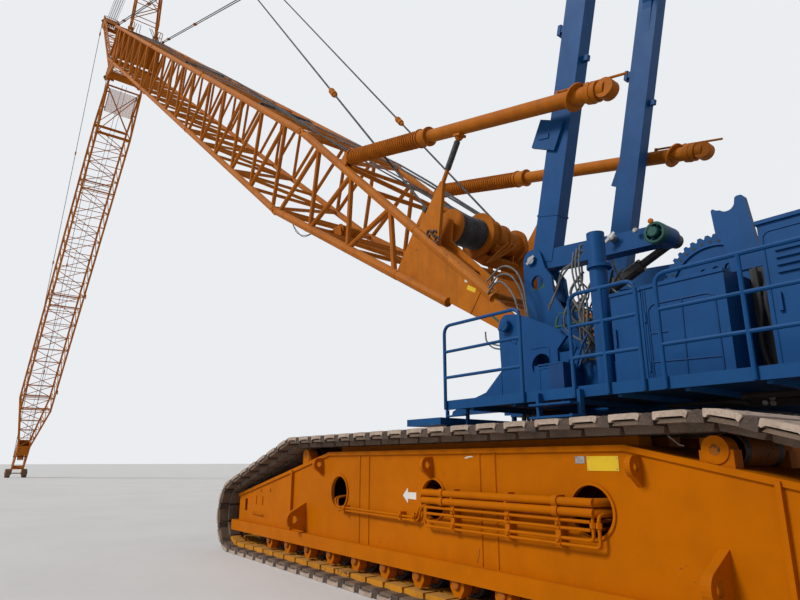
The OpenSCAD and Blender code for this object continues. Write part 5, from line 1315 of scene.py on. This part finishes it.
def walkZ(x):
    # the catwalk climbs a little along the boom
    return 0.165 + (x - boomTrim["walkFrom"]) * 0.0745


def boomFootShape():
    shape = Shape(boom)
    walkFrom, narrowTo = boomTrim["walkFrom"], boomTrim["narrowTo"]
    for _ in shape.bothSides():
        y = boomTrim["plateY"]
        shape.use("signYellow")
        shape.plate(boomTrim["label"], y, y + 0.0012, 8)
        shape.use("signWhite")
        shape.plate(boomTrim["tag"], y, y + 0.0012, 8)
        shape.use("greenGrey")
        shape.box((0.2, y, -0.045), (0.33, y + 0.001, -0.025), -6)
        # catwalk of slats beside the upper pipe, narrow where it passes the A-frame's bracket
        shape.use("latticeOrange")
        for edge, start in ((0.612, narrowTo), (0.688, walkFrom), (0.7, walkFrom)):
            shape.tube([(start, edge, walkZ(start)), (1.36, edge, 0.235)], 0.006, 6)
        for k in range(boomTrim["slats"]):
            x = 0.43 + k * boomTrim["slatPitch"]
            z = walkZ(x)
            inner = 0.684 if x < narrowTo else 0.608
            shape.box((x - 0.004, inner, z - 0.004), (x + 0.004, 0.704, z + 0.006))
        for x, inner in ((0.5, 0.684), (0.9, 0.6), (1.3, 0.6)):
            z = walkZ(x)
            shape.box((x - 0.015, inner, z - 0.05), (x + 0.015, 0.712, z - 0.004))
        # bolts on the backstop's lugs, and the sleeve of its strut
        for x in (3.6, 3.76):
            shape.bolt((x, 0.84, 0.46), alongY, 0.016, 0.01, (0.014, 0.01))
        shape.use("ropeSteel")
        low, high = Vector((1.66, 0.79, 0.79)), Vector((1.709, 0.79, 1.296))
        shape.lathe(low, high - low, [(0.16, 0.024), (0.165, 0.031), (0.455, 0.031), (0.46, 0.024)], 16,
                    ring=True)
        shape.use("latticeOrange")
        shape.lathe(low, high - low, [(0.47, 0.03), (0.49, 0.042), (0.51, 0.03)], 12)
        # shackles and pins by the strut's foot
        shape.use("ropeSteel")
        for x, z in ((1.36, 0.29), (1.44, 0.33), (1.52, 0.3)):
            shape.tube(arc((x, 0.82, z), 0.03, 200, 520, 10), 0.009, 6)
        shape.band((1.9, 0.64, 0.47), alongY, -0.045, 0.065, 0.028, 0.034, 14)
    x, z, drum, half = boomTrim["winch"]
    wound, r = boomTrim["ropeTo"], boomTrim["caseRadius"]
    shape.use("ropeSteel")
    windRope(shape, (x, (half + wound) / 2, z), drum, (half - wound) / 2, boomTrim["ropeRadius"])
    # the winch's flange, ribbed gear case, motor, hoses and bed
    shape.use("latticeOrange")
    gearCase = [(0, 0.1), (0, r + 0.06), (0.025, r + 0.06), (0.028, r), (0.16, r), (0.165, r + 0.02),
                (0.185, r + 0.02), (0.19, r - 0.01), (0.33, r - 0.02), (0.335, r), (0.355, r),
                (0.36, r - 0.04), (wound + half, r - 0.06), (wound + half, 0.1)]
    shape.lathe((x, wound, z), (0, -1, 0), gearCase, 36)
    for dx, dz in circle(10, r + 0.035):
        shape.bolt((x + dx, wound - 0.02, z + dz), (0, -1, 0), 0.012, 0.02, (0.024, 0.008))
    shape.box((x - 0.24, -half + 0.02, z - 0.26), (x + 0.16, wound - 0.03, z - 0.15))
    for y in (wound - 0.06, wound - 0.3, -half + 0.06):
        shape.prism([(x - 0.2, z - 0.2), (x + 0.14, z - 0.2), (x + 0.1, z - 0.05), (x - 0.12, z - 0.05)],
                    y - 0.01, y + 0.01)
    shape.lathe((x - 0.17, wound - 0.12, z - 0.05), (0, -1, 0),
                [(0, 0.03), (0, 0.055), (0.16, 0.055), (0.17, 0.04), (0.22, 0.04), (0.22, 0.01)], 16)
    for k in range(3):
        y = wound - 0.2 - 0.06 * k
        shape.tube(flowing([(x - 0.19, y, z), (x - 0.26, y - 0.02, z + 0.06),
                            (x - 0.3, wound - 0.1 - 0.05 * k, z - 0.06),
                            (x - 0.36, wound + 0.05, z - 0.2)], 5), 0.012, 7)
    # small drum between the lower chords
    x, y, z = boomTrim["smallDrum"]
    spool = [(-0.15, 0.06), (-0.15, 0.1), (-0.14, 0.1), (-0.138, 0.077), (0.138, 0.077), (0.14, 0.1),
             (0.15, 0.1), (0.15, 0.06)]
    shape.lathe((x, y, z), alongY, spool, 28)
    windRope(shape, (x, y, z), 0.076, 0.132, 0.008, 14)
    shape.use("latticeOrange")
    for x2 in (4.02, 4.27):
        shape.tube([(x2, -0.83, -0.575), (x2, 0.83, -0.575)], 0.026, 10)
    for side in (-1, 1):
        shape.prism([(4.0, -0.6), (4.29, -0.6), (4.27, -0.5), (4.18, -0.43), (4.1, -0.43), (4.02, -0.5)],
                    y + side * 0.17 - 0.008, y + side * 0.17 + 0.008)
    shape.use("ropeSteel")
    for k in range(2):
        shape.tube(flowing([(3.85, 0.8, -0.56), (4.02, 0.83, -0.66 - 0.02 * k),
                            (4.25, 0.83, -0.7 + 0.02 * k), (4.5, 0.82, -0.64),
                            (4.62, 0.8, -0.6)], 6), 0.005, 6)
    return shape


boomFootShape().piece("boomFootTrim", "boom")
print("boom's foot trimmed")

# Where the ropes and stays end: the masts' tops, the spreader below the masts and the A-frame's head
rigging = {
    "rearTop": (26.476, 0, 6.376),
    "frontTop": (-1.176, 0, 7.964),
    "spreader": (6.215, 0, 4.795),
    "aframeHead": (-0.5968, 0, 7.644),
}

# Connectors strung on the stays
connectors = {
    "length": 0.15,
    "radius": 0.04,
    # for each stay of the left side: its ends, the shares of its length with a connector, and their size
    "boom": (
        ((26.476, 0.365, 6.376), (1.9, 0.65, 0.47), (0.28, 0.58, 0.87), 1.15),
        ((23.69, 0.85, 0.651), (6.245, 0.56, 4.79), (0.05, 0.245, 0.5, 0.76), 0.8),
        ((23.69, 0.79, 0.651), (6.245, 0.5, 4.79), (0.05, 0.245, 0.5, 0.76), 0.8),
    ),
    "jib": (
        ((-1.176, 0.342, 7.964), (19.16, 0.27, 0.19), (0.03, 0.3, 0.55, 0.8), 0.9),
    ),
}


def bead(shape, a, b, share, size):
    half, r = connectors["length"] / 2 * size, connectors["radius"] * size
    neck, tip = 0.024 * size, 0.015 * size
    side = [(half * 0.25, r), (half * 0.8, r), (half, neck), (half * 1.4, neck), (half * 1.5, tip)]
    profile = [(-along, wide) for along, wide in reversed(side)] + [(0, r * 0.7)] + side
    shape.lathe(a.lerp(b, share), b - a, profile, 12)


def connectorShape(place, stays):
    shape = Shape(place, "latticeOrange")
    for side in (-1, 1):
        onSide = Vector((1, side, 1))
        for start, end, shares, size in stays:
            for share in shares:
                bead(shape, Vector(start) * onSide, Vector(end) * onSide, share, size)
    return shape


connectorShape(boom, connectors["boom"]).piece("stayConnectors", "boom")
connectorShape(jib, connectors["jib"]).piece("jibStayConnectors", "jib")
print("connectors strung")

# Reeving: falls of rope between two rows of sheaves
reeving = {
    "rope": 0.0085,
    "steps": 10,
    # radius and pitch of the sheaves at the start and at the end
    "boomReeving": {"radii": (0.214, 0.18), "pitches": (0.095, 0.095), "falls": 7},
    "jibReeving": {"radii": (0.16, 0.16), "pitches": (0.09, 0.084), "falls": 5},
}


def reeve(name, start, end):
    shape = Shape(ground, "ropeSteel")
    (startRadius, endRadius), (startPitch, endPitch) = reeving[name]["radii"], reeving[name]["pitches"]
    falls = reeving[name]["falls"]
    line = end - start
    across = upper.to_3x3() @ Vector((0, 1, 0))
    lift = line.cross(across).normalized()
    for i in range(falls):
        offset = i - (falls - 1) / 2
        for sign in (-1, 1):
            a = start + across * offset * startPitch + lift * sign * startRadius
            b = end + across * offset * endPitch + lift * sign * endRadius
            shape.tube([a.lerp(b, k / reeving["steps"]) for k in range(reeving["steps"] + 1)],
                       reeving["rope"], 6)
    made = shape.piece(name, None)
    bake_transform(made)


reeve("boomReeving", upper @ Vector(rigging["aframeHead"]), boom @ Vector(rigging["spreader"]))
reeve("jibReeving", boom @ Vector(rigging["rearTop"]), jib @ Vector(rigging["frontTop"]))
print("falls reeved")

# Jib: ropes down the middle, lamps and a small platform
jibTrim = {
    "ropes": (-0.09, 0.07),
    "lampsAt": (9.35, 14.6),
    "lampY": 0.66,
    "platformAt": (0.35, 1.25),
    "slats": 24,
}


def jibShape():
    shape = Shape(jib)
    shape.use("ropeSteel")
    for k, y in enumerate(jibTrim["ropes"]):
        sag = [(0.1 + i * 2.26, y, 0.05 + 0.03 * math.sin(i * 2 + k)) for i in range(1, 8)]
        shape.tube(flowing([(0.1, y, 0.15)] + sag + [(18.2, y, 0.18)], 3), 0.008, 6)
    shape.use("latticeOrange")
    for x in jibTrim["lampsAt"]:
        for side in (-1, 1):
            y = side * jibTrim["lampY"]
            shape.box((x - 0.03, y - 0.03, -0.56), (x + 0.1, y + 0.03, -0.46))
            shape.use("lampLens")
            shape.lathe((x + 0.1, y, -0.51), (1, 0, -0.3),
                        [(0, 0.05), (0.05, 0.062), (0.06, 0.05), (0.062, 0.02)], 16)
            shape.use("latticeOrange")
            shape.box((x - 0.01, side * 0.62 - 0.012, -0.52), (x + 0.02, side * 0.62 + 0.04, -0.5))
    a, b = jibTrim["platformAt"]
    for k in range(jibTrim["slats"]):
        x = a + (b - a) * k / (jibTrim["slats"] - 1)
        shape.box((x - 0.008, -0.5, -0.072), (x + 0.008, 0.5, -0.05))
    for side in (-1, 1):
        shape.box((a, side * 0.5 - 0.012, -0.09), (b, side * 0.5 + 0.012, -0.03))
        for x in (a + 0.13, b - 0.13):
            shape.box((x - 0.03, side * 0.575 - 0.087, -0.05), (x + 0.03, side * 0.575 + 0.087, -0.03))
    return shape


jibShape().piece("jibTrim", "jib")
print("jib trimmed")

# Boom head, mast heads and the jib's tip: flanges, bolts, guards and the wheels' hubs
heads = {
    "boomPlate": [(22.77, -0.665), (23.935, -1.46), (24.025, -1.52), (24.125, -1.52), (24.195, -1.4),
                  (23.81, 0.595), (23.45, 0.595)],
    "boomPlateY": 0.745,
    "jibPin": (24.065, -1.4),
    "jibPlate": [(18.13, -0.262), (19.02, -0.236), (19.97, -0.08), (20.11, -0.07), (20.146, 0),
                 (20.11, 0.07), (19.97, 0.08), (19.02, 0.236), (18.13, 0.262)],
    "jibPlateY": 0.254,
    "braces": (((23.3, -0.75), (23.62, 0.3)), ((23.62, -1.0), (23.78, 0.1))),
    "rollers": ((22.7, 0.6), (8.0, 0.585), (14.0, 0.585)),         # x and z on the boom
    "boltPitch": 0.16,
    "jibLength": 20.06,
    "wheelRadius": 0.21,
    "wheelSides": (0.265, 0.455),
}


def edgeFlange(shape, outline, y, thick, wide=0.05):
    # flat bars welded along a plate's edge, with a row of bolts inside them
    middle = sum((Vector(point) for point in outline), Vector((0, 0))) / len(outline)
    for start, end in zip(outline, outline[1:]):
        a, b = Vector(start), Vector(end)
        along = (b - a).normalized()
        inward = Vector((-along.y, along.x))
        if inward.dot(middle - a) < 0:
            inward = -inward
        bar = [a, b, b + inward * wide, a + inward * wide]
        shape.prism([tuple(point) for point in bar], y, y + thick)
        steps = int((b - a).length / heads["boltPitch"])
        for k in range(1, steps):
            spot = a.lerp(b, k / steps) + inward * wide * 0.5
            shape.bolt((spot.x, y + thick - 0.001, spot.y), alongY, 0.014, 0.01, (0.014, 0.009))


def boomHeadShape():
    shape = Shape(boom)
    for _ in shape.bothSides():
        y = heads["boomPlateY"]
        shape.use("latticeOrange")
        edgeFlange(shape, heads["boomPlate"], y, 0.012)
        # the jib's pin: reinforcing ring, cap and bolts
        pinX, pinZ = heads["jibPin"]
        shape.lathe((pinX, y, pinZ), alongY,
                    [(0, 0.06), (0, 0.1), (0.02, 0.1), (0.024, 0.095), (0.024, 0.06)], 32, ring=True)
        for brace in heads["braces"]:
            shape.tube([(x, y, z) for x, z in brace], 0.014, 4)
        shape.box((22.9, y - 0.01, 0.47), (23.3, y + 0.1, 0.49))
        shape.box((23.25, y, -0.6), (23.45, y + 0.06, -0.45))
        shape.use("darkSteel")
        shape.bolt((pinX, y + 0.015, pinZ), alongY, 0.052, 0.05, (0.06, 0.04), 24, 0.01)
        for dx, dz in circle(6, 0.08):
            shape.bolt((pinX + dx, y + 0.02, pinZ + dz), alongY, 0.01, 0.014, (0.017, 0.006))
        shape.use("lampLens")
        shape.lathe((23.4, y + 0.06, -0.525), (1, 0, -0.4),
                    [(0.04, 0.04), (0.1, 0.052), (0.105, 0.045), (0.107, 0.02)], 16)
    # guard rails along the head's top, and rollers that carry the ropes
    shape.use("latticeOrange")
    for y in (-0.5, 0.5):
        shape.tube(bent([(22.5, y, 0.56), (22.5, y, 0.95), (23.35, y, 0.95), (23.35, y, 0.56)], 0.08),
                   0.014, 8)
        shape.tube([(22.5, y, 0.76), (23.35, y, 0.76)], 0.011, 8)
        shape.tube([(22.92, y, 0.56), (22.92, y, 0.95)], 0.011, 8)
    shape.use("darkSteel")
    for x, z in heads["rollers"]:
        shape.lathe((x, 0, z), alongY, [(-0.5, 0.02), (-0.48, 0.04), (-0.44, 0.03), (0.44, 0.03),
                                        (0.48, 0.04), (0.5, 0.02)], 16)
        for y in (-0.51, 0.51):
            shape.box((x - 0.04, y - 0.01, z - 0.08), (x + 0.04, y + 0.01, z + 0.03))
    return shape


boomHeadShape().piece("boomHeadTrim", "boom")

# A mast head's own frame: along the mast, across, and up
masts = {
    "rear": {"body": "boom", "foot": (23.325, 0, 0.691), "top": rigging["rearTop"], "wide": 0.6},
    "front": {"body": "jib", "foot": (0, 0, 0), "top": rigging["frontTop"], "wide": 0.56},
}


def mastHeadShape(look, carrier):
    foot, top = Vector(look["foot"]), Vector(look["top"])
    along = (top - foot).normalized()
    across = Vector((0, 1, 0))
    up = along.cross(across)
    place = Matrix((along, across, up)).transposed().to_4x4()
    place.translation = top
    shape = Shape(carrier @ place)
    half = look["wide"] / 2 + 0.046
    for side in (-1, 1):
        face = side * half
        shape.use("latticeOrange")
        low, high = sorted((face, face + side * 0.01))
        for z in (-0.2, 0.2):
            shape.box((-0.5, low, z - 0.018), (0.1, high, z + 0.018))
            for k in range(5):
                shape.bolt((-0.45 + 0.12 * k, face + side * 0.008, z), (0, side, 0), 0.011, 0.008,
                           (0.011, 0.007))
        shape.tube([(-0.42, face, -0.17), (-0.12, face, 0.17)], 0.01, 4)
        shape.use("darkSteel")
        shape.bolt((0, face + side * 0.05, 0), (0, side, 0), 0.05, 0.012, (0.018, 0.04), 20, 0.01)
    shape.use("latticeOrange")
    for z in (-0.24, 0.24):
        shape.tube(bent([(-0.3, -half, z), (0.13, -half, z), (0.13, half, z), (-0.3, half, z)], 0.06),
                   0.012, 8)
    return shape


for label, look in masts.items():
    carrier = boom if look["body"] == "boom" else jib
    mastHeadShape(look, carrier).piece(label + "MastTrim", look["body"])


def jibTipShape():
    shape = Shape(jib)
    for _ in shape.bothSides():
        y = heads["jibPlateY"]
        shape.use("latticeOrange")
        edgeFlange(shape, heads["jibPlate"], y, 0.008, 0.04)
        for x in (18.4, 18.75):
            shape.tube([(x, y, -0.2), (x, y, 0.2)], 0.009, 4)
        shape.use("darkSteel")
        shape.bolt((18.98, y, 0), alongY, 0.045, 0.014, (0.02, 0.036), 20, 0.01)
    return shape


jibTipShape().piece("jibTipTrim", "jib")


def wheelShape():
    # on both faces of each wheel: the rim, a dished disc with bolts, and the hub's cap
    shape = Shape(jib)
    r = heads["wheelRadius"]
    near, far = heads["wheelSides"]
    for side in (-1, 1):
        for face, out in ((near, -1), (far, 1)):
            centre = Vector((heads["jibLength"], side * face, 0))
            axis = (0, side * out, 0)
            shape.use("darkSteel")
            shape.lathe(centre, axis, [(0, r - 0.04), (0, r - 0.002), (0.008, r - 0.006), (0.01, r - 0.03),
                                       (0.004, r - 0.04)], 40, ring=True)
            shape.use("crawlerOrange")
            shape.lathe(centre, axis, [(0, 0.06), (0, 0.13), (0.006, 0.13), (0.014, 0.1), (0.014, 0.06)],
                        32, ring=True)
            for dx, dz in circle(8, 0.115):
                shape.bolt(centre + Vector((dx, 0, dz)), axis, 0.011, 0.018, (0.021, 0.007))
            if out > 0:
                shape.bolt(centre, axis, 0.05, 0.03, (0.04, 0.038), 20, 0.01)
    return shape


wheelShape().piece("wheelTrim", "jib_wheels")
print("heads and tip dressed")

# Camera: where it stands, its heading and pitch in degrees
camera = {
    "place": (-2.715, 4.56, 0.75),
    "heading": -35.79,
    "pitch": 14.87,
    "lens": 27.45,
    "sensor": 36,
    "clip": (0.05, 400),
}


def makeCamera():
    data = bpy.data.cameras.new("camera")
    data.lens = camera["lens"]
    data.sensor_width = camera["sensor"]
    data.clip_start, data.clip_end = camera["clip"]
    eye = bpy.data.objects.new("camera", data)
    eye.location = camera["place"]
    heading, pitch = math.radians(camera["heading"]), math.radians(camera["pitch"])
    level = math.cos(pitch)
    look = Vector((math.cos(heading) * level, math.sin(heading) * level, math.sin(pitch)))
    eye.rotation_euler = look.to_track_quat("-Z", "Y").to_euler()
    bpy.context.scene.collection.objects.link(eye)
    bpy.context.scene.camera = eye


makeCamera()
print("camera placed")

# Light: a broad high sun from the left of the view, and a pale even sky
daylight = {
    "sunStrength": 2.3,
    "sunAngle": 16,
    "sunFrom": (0.22, 0.78, 0.66),
    "skyColour": (0.92, 0.95, 1.0),
    "skyStrength": 0.42,
    "shownSky": (0.83, 0.85, 0.88),
}


def lightScene():
    scene = bpy.context.scene
    scene.view_settings.view_transform = "Standard"
    world = bpy.data.worlds.new("sky")
    scene.world = world
    world.use_nodes = True
    sky = Graph(world.node_tree)
    # the sky that lights the crane, and the plainer one that is seen and mirrored
    skyColours = {"Color": daylight["skyColour"], "Strength": daylight["skyStrength"]}
    light = sky.node("ShaderNodeBackground", {}, skyColours)
    shown = sky.node("ShaderNodeBackground", {}, {"Color": daylight["shownSky"]})
    seen = sky.node("ShaderNodeLightPath", output="Is Camera Ray")
    mirrorRay = sky.node("ShaderNodeLightPath", output="Is Glossy Ray")
    either = sky.node("ShaderNodeMath", {"operation": "MAXIMUM"}, {0: seen, 1: mirrorRay})
    mixed = sky.node("ShaderNodeMixShader", {}, {0: either, 1: light, 2: shown})
    sky.feed(sky.tree.nodes["World Output"].inputs["Surface"], mixed)
    sun = bpy.data.lights.new("sun", "SUN")
    sun.energy = daylight["sunStrength"]
    sun.angle = math.radians(daylight["sunAngle"])
    lamp = bpy.data.objects.new("sun", sun)
    lamp.rotation_euler = (-Vector(daylight["sunFrom"])).to_track_quat("-Z", "Y").to_euler()
    scene.collection.objects.link(lamp)


lightScene()

# Floor: wide and pale, with faint patches
floorLook = {
    "size": 500,
    "level": -0.001,
    "pale": (0.66, 0.645, 0.625),
    "stain": (0.57, 0.555, 0.535),
    "patchScale": 0.6,
    "grainScale": 14,
}


def paleFloor():
    f = Finish("paleFloor")
    patches = f.between(f.noise(floorLook["patchScale"], 5, 0.6), 0.4, 0.7)
    grain = f.noise(floorLook["grainScale"], 4)
    f.set(Base_Color=f.mix(patches * 0.6 + grain * 0.3, floorLook["pale"], floorLook["stain"]),
          Roughness=0.85 - 0.1 * patches, Normal=f.bump(grain, 0.2, 0.004))
    return f.material


finishes["paleFloor"] = paleFloor()


def layFloor():
    half, z = floorLook["size"] / 2, floorLook["level"]
    shape = Shape(ground, "paleFloor")
    shape.add([(-half, -half, z), (half, -half, z), (half, half, z), (-half, half, z)], [[0, 1, 2, 3]])
    floor = shape.piece("floor", None)


layFloor()
print("floor and light set")
